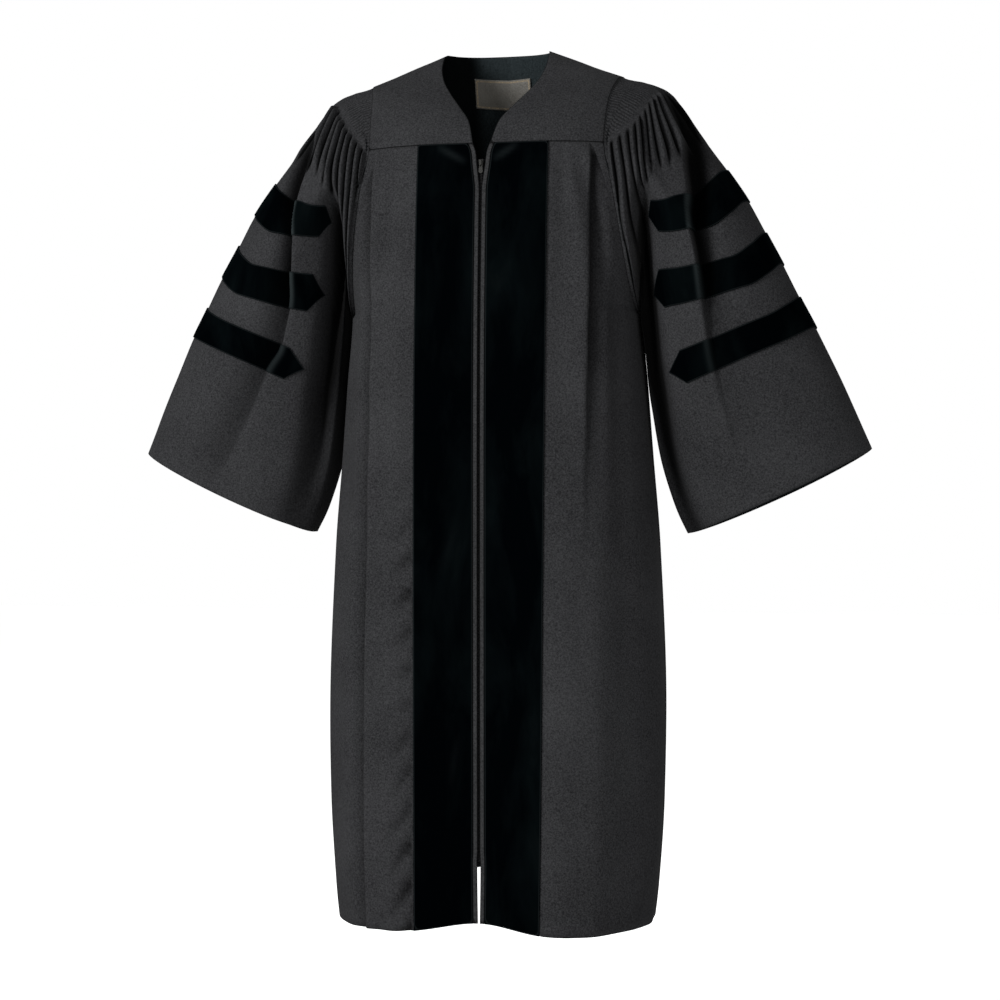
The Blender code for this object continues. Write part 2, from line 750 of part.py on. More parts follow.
def yoke_front_point(a, b):
    """a runs from the neck to the armhole, b from the front seam up to the shoulder."""
    seam = body_line(YOKE_SEAM_Z + SEAM_GAP / 2, True)
    arcs = arcs_of(seam)
    neck = [Vector(row) for row in FRONT_NECK[::-1]]

    def bottom(share):
        return point_at_arc(seam, arcs, neck[0].x + (arcs[-1] - neck[0].x) * share)

    def arm(share):
        point = armhole_point(CORNER_ANGLE + (TOP_ANGLE - CORNER_ANGLE) * share, True)
        point.x -= ARMHOLE_GAP / 2
        return point

    def neckline(share):
        return line_through([bottom(0.0)] + neck[1:], share)

    def shoulder(share):
        point = shoulder_point(share)
        point.x -= share * ARMHOLE_GAP / 2
        return point

    point = coons(a, b, bottom, shoulder, neckline, arm)
    fullness = YOKE_FULLNESS * 16 * a * (1 - a) * b * (1 - b)
    return point + Vector((0.3, -0.6, 0.74)) * fullness


def yoke_back_point(a, b):
    """The whole back yoke's left half: a runs from the centre back to the armhole."""
    seam = body_line(BACK_YOKE_SEAM_Z + SEAM_GAP / 2, False)
    arcs = arcs_of(seam)
    neck = [Vector(row) for row in BACK_NECK[::-1]]
    neck_share = arcs_of(neck)[-1]
    neck_share /= neck_share + (shoulder_point(1.0) - shoulder_point(0.0)).length

    def bottom(share):
        return point_at_arc(seam, arcs, arcs[-1] * share)

    def arm(share):
        point = armhole_point(BACK_CORNER_ANGLE + (TOP_ANGLE - BACK_CORNER_ANGLE) * share, False)
        point.x -= ARMHOLE_GAP / 2
        return point

    def top(share):
        if share < neck_share:
            return line_through(neck, share / neck_share)
        along = (share - neck_share) / (1 - neck_share)
        point = shoulder_point(along)
        point.x -= along * ARMHOLE_GAP / 2
        return point

    def centre(share):
        return bottom(0.0).lerp(top(0.0), share)

    point = coons(a, b, bottom, top, centre, arm)
    fullness = YOKE_FULLNESS * 4 * (1 - a * a) * b * (1 - b)
    return point + Vector((0.0, 1.2, 0.5)) * fullness


def clear_of_shoulder_seam(grid, toward_front):
    """Keeps the row on the shoulder seam half a gap from the seam."""
    for point in grid[0]:
        if abs(point.y) < SHOULDER_GAP / 2:
            point.y = (-1 if toward_front else 1) * SHOULDER_GAP / 2
    return grid


def build_yokes(collection):
    grid = []
    for r in range(YOKE_ROWS + 1):
        b = 1 - r / YOKE_ROWS
        grid.append([yoke_front_point(c / YOKE_SPANS, b) for c in range(YOKE_SPANS + 1)])
    clear_of_shoulder_seam(grid, True)
    for side, name in ((1, "left"), (-1, "right")):
        grid_object(f"yoke_front_{name}", grid, side, WALL, CLOTH, collection)
    grid = back_yoke_grid()
    grid_object("yoke_back", grid, 1, WALL, CLOTH, collection)


def back_yoke_grid():
    """Rows from the neck down, columns from the left armhole round the back to the right."""
    grid = []
    for r in range(YOKE_ROWS + 1):
        b = 1 - r / YOKE_ROWS
        left = [yoke_back_point(c / BACK_YOKE_SPANS, b) for c in range(BACK_YOKE_SPANS, -1, -1)]
        right = [Vector((-p.x, p.y, p.z)) for p in left[-2::-1]]
        grid.append(left + right)
    return clear_of_shoulder_seam(grid, False)


def build_label(collection):
    """A plain label on the inside of the back yoke, below the neckline."""
    grid = []
    for r in range(LABEL_ROWS + 1):
        b = LABEL_CENTRE_ROW + (0.5 - r / LABEL_ROWS) * LABEL_HEIGHT / BACK_YOKE_LENGTH
        row = []
        for c in range(LABEL_SPANS + 1):
            x = LABEL_CENTRE_X + (c / LABEL_SPANS - 0.5) * LABEL_WIDTH
            row.append(back_yoke_inside(x, b))
        grid.append(row)
    grid_object("neck_label", grid, 1, LABEL_WALL, LABEL, collection, outward=True)


def back_yoke_inside(x, b):
    """The inner face of the back yoke at a distance from the centre, moved in off the wall."""
    low, high = 0.0, 1.0
    for _ in range(HALVINGS):
        middle = (low + high) / 2
        if yoke_back_point(middle, b).x < abs(x):
            low = middle
        else:
            high = middle
    here = yoke_back_point(low, b)
    along = yoke_back_point(low + 0.01, b) - yoke_back_point(max(low - 0.01, 0.0), b)
    down = yoke_back_point(low, b - 0.01) - yoke_back_point(low, b + 0.01)
    inward = along.cross(down).normalized()
    if inward.y > 0:
        inward = -inward
    here += inward * (WALL + LAY_GAP + LABEL_WALL + LABEL_STAND)
    return Vector((math.copysign(here.x, x), here.y, here.z))


def sleeve_value(name, along):
    """A column of the stations at a place along the sleeve, 0 to the number of the last."""
    numbers = list(range(len(STATIONS)))
    return smooth_value(numbers, [getattr(station, name) for station in STATIONS], along)


def sleeve_length_share(along):
    return along / (len(STATIONS) - 1)


def sleeve_folds(side, front):
    if not front:
        return BACK_FOLDS
    return LEFT_FRONT_FOLDS if side > 0 else RIGHT_FRONT_FOLDS


def sleeve_point(side, along, angle, head_share=None):
    """A point of a sleeve for the wearer's left. The angle runs from -90 at the inner fold
    over the front to 90 at the outer fold, and on over the back to 270."""
    front = angle <= TOP_ANGLE
    bend = angle if front else 2 * TOP_ANGLE - angle
    radians = math.radians(bend)
    share = (1 + math.sin(radians)) / 2
    inner_x, outer_x = sleeve_value("inner_x", along), sleeve_value("outer_x", along)
    inner_z, outer_z = sleeve_value("inner_z", along), sleeve_value("outer_z", along)
    straight = sleeve_value("straight", along)
    rest = 1 - share
    fall = straight * rest + (1 - straight) * rest**FALL_POWER
    x = inner_x + (outer_x - inner_x) * share
    if along < 1:
        seam_x = armhole_point(bend, front).x + ARMHOLE_GAP / 2
        bow_x = x - sleeve_value("bow", 1.0) * column(BOW_SHAPE, "angle", "share", bend)
        x = seam_x + (max(bow_x, seam_x + HEAD_STAND) - seam_x) * along
    else:
        x -= sleeve_value("bow", along) * column(BOW_SHAPE, "angle", "share", bend)
    depth = sleeve_value("front" if front else "back", along)
    toward = -1 if front else 1
    z = outer_z + (inner_z - outer_z) * fall
    cuff_bow = CUFF_BOW_LEFT if side > 0 else CUFF_BOW_RIGHT
    z -= cuff_bow * math.cos(radians) * smoothstep((BOW_FROM - z) / BOW_OVER)
    if front:
        sag = column(FRONT_SAG, "along", "left" if side > 0 else "right", along)
        z -= sag * column(SAG_SHAPE, "angle", "share", bend)
    roundness = max(math.cos(radians), 0.0) ** sleeve_value("power", along)
    point = Vector((x, toward * depth * roundness, z))

    across = Vector((outer_x - inner_x, 0.0, outer_z - inner_z)).normalized()
    half = math.hypot(outer_x - inner_x, outer_z - inner_z) / 2
    outward = across * depth * math.sin(radians)
    outward += Vector((0.0, toward * half * math.cos(radians), 0.0))
    outward.normalize()
    height = 0.0
    if head_share is not None:
        columns = head_share * HEAD_COLUMNS
        rib = sleeve_value("rib", along)
        pleat = sleeve_value("pleat", along)
        height += rib * math.cos(2 * math.pi * columns / COLUMNS_A_RIB)
        height += pleat * math.cos(2 * math.pi * columns / COLUMNS_A_PLEAT)
    down = sleeve_length_share(along)
    strength = sleeve_value("fold", along)
    for fold in sleeve_folds(side, front):
        reach = smoothstep((down - fold.start) / FOLD_SOFTENING + 0.5)
        if fold.end < 1:
            reach *= 1 - smoothstep((down - fold.end) / FOLD_SOFTENING + 0.5)
        shift = smoothstep((down - FOLD_SHIFT_FROM) / FOLD_SHIFT_OVER)
        middle = fold.angle + (fold.lower_angle - fold.angle) * shift
        rise = fold.height * strength * reach * bump(bend - middle, fold.half_width)
        point.y += toward * rise
    return point + outward * height


def head_ring(side, along):
    """A ring with columns for ribs and pleats, as (angle, point) pairs."""
    ring = []
    corner = sleeve_value("corner", along)
    for front in (True, False):
        columns = [(angle, None) for angle in underarm_angles(corner)[:-1]]
        for i in range(HEAD_COLUMNS):
            share = i / HEAD_COLUMNS
            columns.append((corner + (TOP_ANGLE - corner) * share, share))
        if not front:
            columns = [(2 * TOP_ANGLE - a, share) for a, share in columns[1:]][::-1]
            columns.insert(0, (TOP_ANGLE, 1.0))
        ring += [(a, sleeve_point(side, along, a, share)) for a, share in columns]
    return ring


def lower_angles():
    step = 180.0 / LOWER_COLUMNS
    return [START_ANGLE + step * i for i in range(2 * LOWER_COLUMNS)]


def station_number(name):
    return [station.name for station in STATIONS].index(name)


def build_sleeves(collection):
    first_lower = station_number(FIRST_LOWER)
    for side, name in ((1, "left"), (-1, "right")):
        lines = [head_ring(side, number) for number in range(first_lower)]
        for number in range(first_lower, len(STATIONS)):
            lines.append([(a, sleeve_point(side, number, a)) for a in lower_angles()])
        rings_object(f"sleeve_{name}", lines, CLOTH, collection, side, closed=True)


def within(angle, first, last):
    return first - SMALL_ANGLE <= angle <= last + SMALL_ANGLE


def build_bars(collection):
    """Bars on the sleeve's own columns, moved out, each end tapering to a point."""
    for bar in BARS:
        last = 2 * TOP_ANGLE - bar.back_angle
        angles = [a for a in lower_angles() if within(a, bar.front_angle, last)]
        step = angles[1] - angles[0]
        wide = [angles[0] - step] + angles + [angles[-1] + step]
        rows = []
        for edge in ("top", "end"):
            number = station_number(f"bar_{bar.number}_{edge}")
            rows.append([sleeve_point(bar.side, number, angle) for angle in wide])
        upper, lower = [row[1:-1] for row in moved_out(rows, BAR_LAY_GAP)]
        for i in range(len(angles)):
            width = min(i, len(angles) - 1 - i, POINT_COLUMNS) / POINT_COLUMNS
            middle = (upper[i] + lower[i]) / 2
            upper[i] = middle.lerp(upper[i], width)
            lower[i] = middle.lerp(lower[i], width)
        title = f"bar_{bar.name}_{bar.number}"
        grid_object(title, [upper, lower], bar.side, VELVET_WALL, VELVET, collection, True)


def centre_line(z, set_back):
    """A point on the centre front, behind the edges of the fronts."""
    point = front_surface(1, z, 0.0)
    return Vector((0.0, point.y + set_back, point.z))


def strip_grid(top, end, half_width, set_back):
    grid = []
    for i in range(ZIP_ROWS + 1):
        z = top + (end - top) * i / ZIP_ROWS
        middle = centre_line(z, set_back)
        grid.append([middle + Vector((x, 0.0, 0.0)) for x in (-half_width, 0.0, half_width)])
    return grid


def build_zip(collection):
    tape = strip_grid(ZIP_TOP_Z, ZIP_END_Z, TAPE_HALF_WIDTH, TAPE_SET_BACK)
    grid_object("zip_tape", tape, 1, TAPE_WALL, TAPE, collection)
    chain = strip_grid(CHAIN_TOP_Z, ZIP_END_Z, CHAIN_HALF_WIDTH, CHAIN_SET_BACK)
    grid_object("zip_chain", chain, 1, CHAIN_WALL, TAPE, collection)

    above = centre_line(SLIDER_Z + SLIDER_SIZE[2], 0.0)
    below = centre_line(SLIDER_Z - SLIDER_SIZE[2], 0.0)
    frame = bpy.data.objects.new("zip_frame", None)
    frame.location = (above + below) / 2
    frame.rotation_euler.x = math.atan2(below.y - above.y, above.z - below.z)
    collection.objects.link(frame)
    build_slider(frame, collection)
    build_pull(frame, collection)


def outline_mesh(name, outlines, wall):
    """A flat piece from outlines in its own XY plane, as a mesh."""
    curve = bpy.data.curves.new(name, "CURVE")
    curve.dimensions = "2D"
    curve.fill_mode = "BOTH"
    curve.extrude = wall / 2
    for outline in outlines:
        spline = curve.splines.new("POLY")
        spline.points.add(len(outline) - 1)
        for point, (x, y) in zip(spline.points, outline):
            point.co = (x, y, 0.0, 1.0)
        spline.use_cyclic_u = True
    drawn = bpy.data.objects.new(name, curve)
    bpy.context.scene.collection.objects.link(drawn)
    bpy.context.view_layer.update()
    graph = bpy.context.evaluated_depsgraph_get()
    mesh = bpy.data.meshes.new_from_object(drawn.evaluated_get(graph))
    bpy.data.objects.remove(drawn)
    bpy.data.curves.remove(curve)
    shape = bmesh.new()
    shape.from_mesh(mesh)
    bmesh.ops.remove_doubles(shape, verts=shape.verts, dist=SAME_POINT)
    shape.to_mesh(mesh)
    shape.free()
    mesh.name = name
    return mesh


def build_slider(frame, collection):
    """The slider's body, rounded, with a bridge on its front that the pull tab hangs from."""
    width, depth, height = SLIDER_SIZE
    bpy.ops.mesh.primitive_cube_add(size=1.0)
    body = bpy.context.object
    body.name = "zip_slider"
    body.data.name = "zip_slider"
    body.scale = (width, depth, height)
    bpy.ops.object.transform_apply(scale=True)
    for vertex in body.data.vertices:
        if vertex.co.z < 0:
            vertex.co.x *= SLIDER_TAPER
    for holder in list(body.users_collection):
        holder.objects.unlink(body)
    collection.objects.link(body)
    body.data.materials.append(material("zip_slider", METAL))
    body.parent = frame
    body.location = (0.0, depth / 2 - SLIDER_AHEAD, 0.0)
    edge = body.modifiers.new("edge", "BEVEL")
    edge.width = SLIDER_EDGE
    edge.segments = 2

    outer, inner = BRIDGE_HALF_HEIGHT + BRIDGE_BAR, BRIDGE_HALF_HEIGHT
    reach = BRIDGE_ROOM + BRIDGE_BAR
    outline = [
        (-BRIDGE_SUNK, -outer),
        (reach - BRIDGE_CORNER, -outer),
        (reach, -outer + BRIDGE_CORNER),
        (reach, outer - BRIDGE_CORNER),
        (reach - BRIDGE_CORNER, outer),
        (-BRIDGE_SUNK, outer),
        (-BRIDGE_SUNK, inner),
        (BRIDGE_ROOM, inner),
        (BRIDGE_ROOM, -inner),
        (-BRIDGE_SUNK, -inner),
    ]
    mesh = outline_mesh("zip_bridge", [outline], BRIDGE_WIDTH)
    bridge = bpy.data.objects.new("zip_bridge", mesh)
    cutters = bpy.data.collections.new("joined_shapes")
    bpy.context.scene.collection.children.link(cutters)
    cutters.objects.link(bridge)
    bridge.hide_render = True
    bridge.display_type = "WIRE"
    bridge.parent = frame
    bridge.location = (0.0, -SLIDER_AHEAD, 0.0)
    bridge.rotation_euler = (math.pi / 2, 0.0, -math.pi / 2)
    union = body.modifiers.new("bridge", "BOOLEAN")
    union.operation = "UNION"
    union.object = bridge


def build_pull(frame, collection):
    """The pull tab: a drop-shaped plate with an eye, its origin on the bar that turns."""
    rounded = []
    centre = -(PULL_LENGTH - PULL_HALF_WIDTH - EYE_BAR / 2)
    for i in range(PULL_END_STEPS + 1):
        angle = math.pi * i / PULL_END_STEPS
        x = PULL_HALF_WIDTH * math.cos(angle)
        rounded.append((x, centre - PULL_HALF_WIDTH * math.sin(angle)))
    outline = [(PULL_NECK_HALF_WIDTH, EYE_BAR / 2)] + rounded + [(-PULL_NECK_HALF_WIDTH, EYE_BAR / 2)]
    eye = [
        (EYE_HALF_WIDTH, -EYE_BAR / 2),
        (-EYE_HALF_WIDTH, -EYE_BAR / 2),
        (-EYE_HALF_WIDTH, -EYE_LENGTH),
        (EYE_HALF_WIDTH, -EYE_LENGTH),
    ]
    mesh = outline_mesh("zip_pull", [outline, eye], PULL_WALL)
    pull = new_object("zip_pull", mesh, METAL, collection)
    pull.parent = frame
    bar_z = -BRIDGE_HALF_HEIGHT + EYE_BAR / 2 + EYE_PLAY
    pull.location = (0.0, -SLIDER_AHEAD - BRIDGE_ROOM / 2, bar_z)
    pull.rotation_euler.x = math.pi / 2


def clear_scene():
    for made in list(bpy.data.objects):
        bpy.data.objects.remove(made)


def main():
    clear_scene()
    gown = bpy.data.collections.new("graduation_gown")
    bpy.context.scene.collection.children.link(gown)
    build_yokes(gown)
    build_fronts(gown)
    build_back(gown)
    build_sleeves(gown)
    build_bars(gown)
    build_zip(gown)
    build_label(gown)


main()
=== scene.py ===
"""Looks of a doctoral graduation gown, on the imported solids. Metres, +Z up, front faces -Y."""

import math
from collections import namedtuple

import bpy
import numpy as np
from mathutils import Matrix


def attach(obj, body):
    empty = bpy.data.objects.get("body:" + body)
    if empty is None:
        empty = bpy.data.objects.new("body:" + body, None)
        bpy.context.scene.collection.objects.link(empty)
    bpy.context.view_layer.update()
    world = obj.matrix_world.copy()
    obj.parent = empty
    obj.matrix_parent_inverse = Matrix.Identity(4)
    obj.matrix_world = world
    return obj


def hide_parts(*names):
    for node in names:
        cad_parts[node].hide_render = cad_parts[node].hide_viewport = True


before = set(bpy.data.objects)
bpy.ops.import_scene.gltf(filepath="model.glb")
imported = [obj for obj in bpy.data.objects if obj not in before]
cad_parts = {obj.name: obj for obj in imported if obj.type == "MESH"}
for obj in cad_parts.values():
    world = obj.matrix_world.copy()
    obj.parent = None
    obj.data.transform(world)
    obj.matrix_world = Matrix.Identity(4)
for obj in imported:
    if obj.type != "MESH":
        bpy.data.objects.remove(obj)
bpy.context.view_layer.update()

# Cloth walls and how far the laid-on pieces stand off the panels
WALL = 0.0012
VELVET_WALL = 0.0016
LAY_GAP = 0.0006

# Heights, below the neck points
YOKE_SEAM_Z = -0.157
BACK_YOKE_SEAM_Z = -0.150
UNDERARM_Z = -0.400
HEM_Z = -1.285
HEM_RISE = 0.010
HEM_RISE_HALF_WIDTH = 0.070
BACK_HEM_RISE = 0.042

# Body sections
BODY_POWER = 2 / 2.5
CROWN_AT = 0.58
Section = namedtuple("Section", "z half_width centre crown back")
BODY_SECTIONS = (
    Section(-0.130, 0.228, 0.1265, 0.131, 0.114),
    Section(-0.157, 0.225, 0.1280, 0.134, 0.118),
    Section(-0.260, 0.214, 0.1370, 0.148, 0.128),
    Section(-0.400, 0.216, 0.1450, 0.160, 0.134),
    Section(-0.500, 0.224, 0.1480, 0.166, 0.138),
    Section(-0.600, 0.2315, 0.1490, 0.171, 0.142),
    Section(-0.740, 0.2425, 0.1490, 0.177, 0.147),
    Section(-0.970, 0.2510, 0.1480, 0.184, 0.154),
    Section(-1.110, 0.2485, 0.1470, 0.188, 0.157),
    Section(-1.240, 0.2400, 0.1460, 0.192, 0.158),
    Section(-1.300, 0.2330, 0.1460, 0.194, 0.158),
)
Neck = namedtuple("Neck", "x y z")
FRONT_NECK = (
    Neck(0.0780, 0.000, 0.000),
    Neck(0.0795, -0.014, -0.007),
    Neck(0.0790, -0.031, -0.024),
    Neck(0.0730, -0.049, -0.047),
    Neck(0.0595, -0.068, -0.070),
    Neck(0.0390, -0.092, -0.0975),
    Neck(0.0215, -0.111, -0.123),
    Neck(0.0125, -0.128, -0.157),
)
BACK_NECK = (
    Neck(0.0780, 0.000, 0.000),
    Neck(0.0750, 0.030, 0.005),
    Neck(0.0610, 0.058, 0.009),
    Neck(0.0340, 0.076, 0.0115),
    Neck(0.0000, 0.082, 0.0125),
)
Edge = namedtuple("Edge", "z half_gap")
FRONT_EDGE = (
    Edge(-0.157, 0.0125),
    Edge(-0.171, 0.0078),
    Edge(-0.190, 0.0058),
    Edge(-0.203, 0.0040),
    Edge(-0.226, 0.0018),
    Edge(-1.185, 0.0018),
    Edge(-1.195, 0.0026),
    Edge(-1.285, 0.0016),
)
STRIP_WIDTH = 0.0072
VELVET_OUTER = {1: 0.0975, -1: 0.0940}
PANEL_SPANS = 10
EVEN_SHARE = 0.7
UNDER_COLUMNS = 14
PLAIN_COLUMNS = 60

# Armhole
ARMHOLE_TOP_Z = -0.044
ARMHOLE_MIDDLE_Z = (ARMHOLE_TOP_Z + UNDERARM_Z) / 2
ARMHOLE_HALF_HEIGHT = (ARMHOLE_TOP_Z - UNDERARM_Z) / 2
ARMHOLE_FRONT = 0.110
ARMHOLE_BACK = 0.108
CORNER_ANGLE = 21.4
BACK_CORNER_ANGLE = 24.0
Arm = namedtuple("Arm", "angle x")
ARMHOLE_X = (
    Arm(-90, 0.2160),
    Arm(-60, 0.2085),
    Arm(-30, 0.2000),
    Arm(0, 0.1865),
    Arm(22, 0.1740),
    Arm(45, 0.1765),
    Arm(70, 0.1850),
    Arm(90, 0.1900),
)
Seam = namedtuple("Seam", "share drop")
SHOULDER_DROP = (Seam(0.0, 0.0), Seam(0.4, 0.40), Seam(0.7, 0.72), Seam(1.0, 1.0))
YOKE_FULLNESS = 0.004

# Sleeve stations, as the solids have them, from the armhole to the cuff
Station = namedtuple(
    "Station",
    "name outer_x outer_z inner_x inner_z straight bow front back corner power fold",
)
STATIONS = (
    Station("armhole", 0.190, -0.044, 0.2160, -0.400, 1.00, 0.000, 0.110, 0.108, 21, 1.00, 0.0),
    Station("gauging", 0.221, -0.054, 0.2175, -0.403, 1.00, 0.0415, 0.111, 0.108, 23, 1.00, 0.0),
    Station("released", 0.251, -0.065, 0.2190, -0.407, 0.95, 0.060, 0.113, 0.109, 22, 0.96, 0.0),
    Station("below", 0.274, -0.091, 0.2205, -0.411, 0.62, 0.054, 0.114, 0.109, 14, 0.90, 0.1),
    Station("upper", 0.304, -0.134, 0.2215, -0.416, 0.32, 0.044, 0.113, 0.108, 0, 0.82, 0.5),
    Station("above_bar", 0.324, -0.162, 0.2220, -0.419, 0.22, 0.037, 0.112, 0.107, -12, 0.78, 0.8),
    Station("bar_1_top", 0.3430, -0.188, 0.2224, -0.423, 0.14, 0.030, 0.110, 0.105, -20, 0.74, 1.0),
    Station("bar_1_end", 0.3735, -0.234, 0.2228, -0.436, 0.16, 0.020, 0.107, 0.103, -24, 0.70, 1.0),
    Station("bar_2_top", 0.3985, -0.281, 0.2240, -0.454, 0.26, 0.012, 0.104, 0.100, -34, 0.70, 0.9),
    Station("bar_2_end", 0.4230, -0.326, 0.2264, -0.482, 0.40, 0.004, 0.100, 0.097, -40, 0.70, 0.8),
    Station("bar_3_top", 0.4475, -0.3755, 0.2298, -0.516, 0.66, 0.0, 0.097, 0.094, -40, 0.72, 0.7),
    Station("bar_3_end", 0.4705, -0.4195, 0.2352, -0.550, 0.78, 0.0, 0.093, 0.090, -40, 0.74, 0.6),
    Station("forearm", 0.5015, -0.4850, 0.2460, -0.612, 0.94, 0.0, 0.088, 0.085, -40, 0.80, 0.45),
    Station("near_cuff", 0.5330, -0.5560, 0.2680, -0.684, 1.00, 0.0, 0.083, 0.080, -40, 0.90, 0.22),
    Station("cuff", 0.5500, -0.5955, 0.2840, -0.718, 1.00, 0.0, 0.080, 0.077, -40, 0.96, 0.12),
)
LAST_STATION = len(STATIONS) - 1
FALL_POWER = 20
CUFF_BOW = {1: 0.010, -1: 0.004}
BOW_FROM = -0.45
Bow = namedtuple("Bow", "angle share")
BOW_SHAPE = (
    Bow(-90, 0.0),
    Bow(-60, 0.10),
    Bow(-30, 0.32),
    Bow(0, 0.66),
    Bow(26, 1.0),
    Bow(45, 0.74),
    Bow(60, 0.47),
    Bow(90, 0.0),
)

# How far the front of each sleeve hangs below its outer fold, by station and round a ring
Sag = namedtuple("Sag", "along left right")
FRONT_SAG = (
    Sag(3, 0.000, 0.000),
    Sag(4, 0.015, 0.012),
    Sag(5, 0.030, 0.025),
    Sag(6, 0.042, 0.034),
    Sag(7, 0.042, 0.034),
    Sag(8, 0.036, 0.031),
    Sag(9, 0.028, 0.026),
    Sag(10, 0.014, 0.006),
    Sag(11, 0.007, 0.000),
    Sag(12, 0.000, 0.000),
)
SAG_SHAPE = (
    Bow(-90, 0.0),
    Bow(-54, 0.30),
    Bow(-36, 0.58),
    Bow(-18, 0.78),
    Bow(5, 0.90),
    Bow(35, 0.94),
    Bow(60, 0.50),
    Bow(76, 0.14),
    Bow(90, 0.0),
)

# Gauged head of a sleeve: fine ribs out to a line, and the pleats that hang from it
RIBS = 34
RIB_HEIGHT = 0.0010
PLEATS = 12
PLEAT_HEIGHT = 0.0100
Line = namedtuple("Line", "share along slope length")
HEAD_LINE = {
    1: (
        Line(0.00, 1.20, 0.12, 0.330),
        Line(0.15, 2.45, 0.125, 0.300),
        Line(0.30, 2.85, 0.13, 0.220),
        Line(0.50, 2.60, 0.16, 0.170),
        Line(0.75, 2.20, 0.38, 0.150),
        Line(1.00, 2.00, 0.80, 0.100),
    ),
    -1: (
        Line(0.00, 1.30, 0.09, 0.330),
        Line(0.15, 2.20, 0.10, 0.300),
        Line(0.35, 2.45, 0.12, 0.230),
        Line(0.55, 2.30, 0.20, 0.190),
        Line(0.75, 2.15, 0.42, 0.160),
        Line(1.00, 2.00, 0.90, 0.100),
    ),
}

# Big stepped folds: the cloth stands proud up to the path, drops behind it, and comes back
Step = namedtuple("Step", "side front ridge drop before after path")
Place = namedtuple("Place", "along angle share")
STEPS = (
    Step(1, True, 0.0060, 0.0360, 16, 20, (
        Place(1.8, 80, 0.0), Place(2.6, 75, 0.5), Place(3.6, 66, 0.9), Place(5.0, 49, 1.0),
        Place(6.0, 37, 1.0), Place(7.0, 12, 1.0), Place(8.0, 2, 0.75), Place(9.0, -6, 0.45),
        Place(10.0, -10, 0.28), Place(11.0, -12, 0.18), Place(13.0, -12, 0.0),
    )),
    Step(-1, True, 0.0060, 0.0260, 16, 22, (
        Place(2.0, 80, 0.0), Place(3.0, 68, 0.4), Place(4.0, 47, 0.7), Place(5.0, 40, 0.9),
        Place(6.0, 30, 1.0), Place(7.0, 2, 1.0), Place(8.0, -9, 0.8), Place(9.0, -17, 0.6),
        Place(10.0, -17, 0.50), Place(11.0, -11, 0.42), Place(12.5, -2, 0.25), Place(14.0, 4, 0.0),
    )),
    Step(1, False, 0.0040, 0.0130, 10, 24, (
        Place(2.0, 76, 0.0), Place(3.5, 60, 0.6), Place(5.0, 42, 1.0), Place(6.0, 28, 1.0),
        Place(7.0, 8, 0.9), Place(9.0, -8, 0.5), Place(12.0, -14, 0.1), Place(14.0, -14, 0.0),
    )),
    Step(-1, False, 0.0040, 0.0140, 10, 24, (
        Place(2.0, 70, 0.0), Place(3.5, 54, 0.6), Place(5.0, 36, 1.0), Place(6.0, 20, 1.0),
        Place(7.0, 2, 0.9), Place(9.0, -12, 0.5), Place(12.0, -18, 0.1), Place(14.0, -18, 0.0),
    )),
)

Fold = namedtuple("Fold", "angle lower_angle half_width height start end")
FOLD_SHADE = 0.95
GAP_ANGLE = -49
GAP_SHADE = 0.92
RIGHT_FRONT_FOLDS = (
    Fold(-79, -77, 8, 0.026, 0.10, 1.00),
    Fold(-60, -52, 9, -0.046, 0.05, 1.00),
)
LEFT_FRONT_FOLDS = (
    Fold(-79, -79, 8, 0.022, 0.10, 1.00),
    Fold(-63, -60, 9, -0.036, 0.05, 1.00),
)
BACK_FOLDS = (
    Fold(-79, -79, 8, 0.020, 0.10, 1.00),
    Fold(-62, -62, 10, -0.034, 0.05, 1.00),
    Fold(14, 14, 11, -0.013, 0.12, 0.62),
    Fold(40, 40, 10, 0.006, 0.12, 0.55),
)
Bar = namedtuple("Bar", "side name number front_angle back_angle")
BARS = (
    Bar(1, "left", 1, -45, -54),
    Bar(1, "left", 2, -54, -54),
    Bar(1, "left", 3, -45, -45),
    Bar(-1, "right", 1, -45, -54),
    Bar(-1, "right", 2, -45, -54),
    Bar(-1, "right", 3, -36, -45),
)
POINT_ANGLE = 13.5

# Folds of the fronts
Crease = namedtuple("Crease", "side column half_width height top_share hem_share")
FRONT_CREASES = (
    Crease(1, 3, 0.8, 0.0045, 1.0, 0.6),
    Crease(1, 5, 1.0, -0.0045, 1.0, 0.6),
    Crease(-1, 4, 0.8, 0.0035, 1.0, 0.8),
    Crease(-1, 2, 1.0, -0.0030, 0.4, 1.0),
    Crease(1, 8, 0.9, 0.0030, 0.4, 1.0),
)

# Folds that hang straight down a front from the yoke, by distance from the centre. A knife
# fold stands up to its line and drops sharply behind it.
Drape = namedtuple("Drape", "side top_arc low_arc half_width height end_z knife")
DRAPES = (
    Drape(1, 0.157, 0.150, 0.022, 0.0075, -0.80, True),
    Drape(1, 0.118, 0.112, 0.012, -0.0030, -0.70, False),
    Drape(1, 0.186, 0.200, 0.014, 0.0050, -0.90, False),
    Drape(-1, 0.163, 0.170, 0.018, 0.0060, -1.60, True),
    Drape(-1, 0.122, 0.128, 0.014, 0.0030, -0.85, False),
    Drape(-1, 0.190, 0.205, 0.012, 0.0050, -0.70, False),
)
Crush = namedtuple("Crush", "side top_x top_z low_x low_z share")
# Lines on the velvet facings along which a pale highlight is painted
VELVET_CREASE_HIGHLIGHTS = (
    Crush(-1, 0.066, -0.160, 0.020, -0.186, 0.20),
    Crush(1, 0.056, -0.158, 0.016, -0.183, 0.20),
    Crush(-1, 0.030, -0.700, 0.054, -0.780, 0.05),
    Crush(-1, 0.028, -1.000, 0.042, -1.085, 0.05),
)
CREASE_HIGHLIGHT_HALF_WIDTH = 0.0050
DRAPE_SHADE = {1: 0.75, -1: 0.35}
PUCKER_HEIGHT = {1: 0.0012, -1: 0.0045}
PUCKER_SHADE = 1.05
PUCKER_TOP_Z = -0.62
PUCKER_WAVES = 120
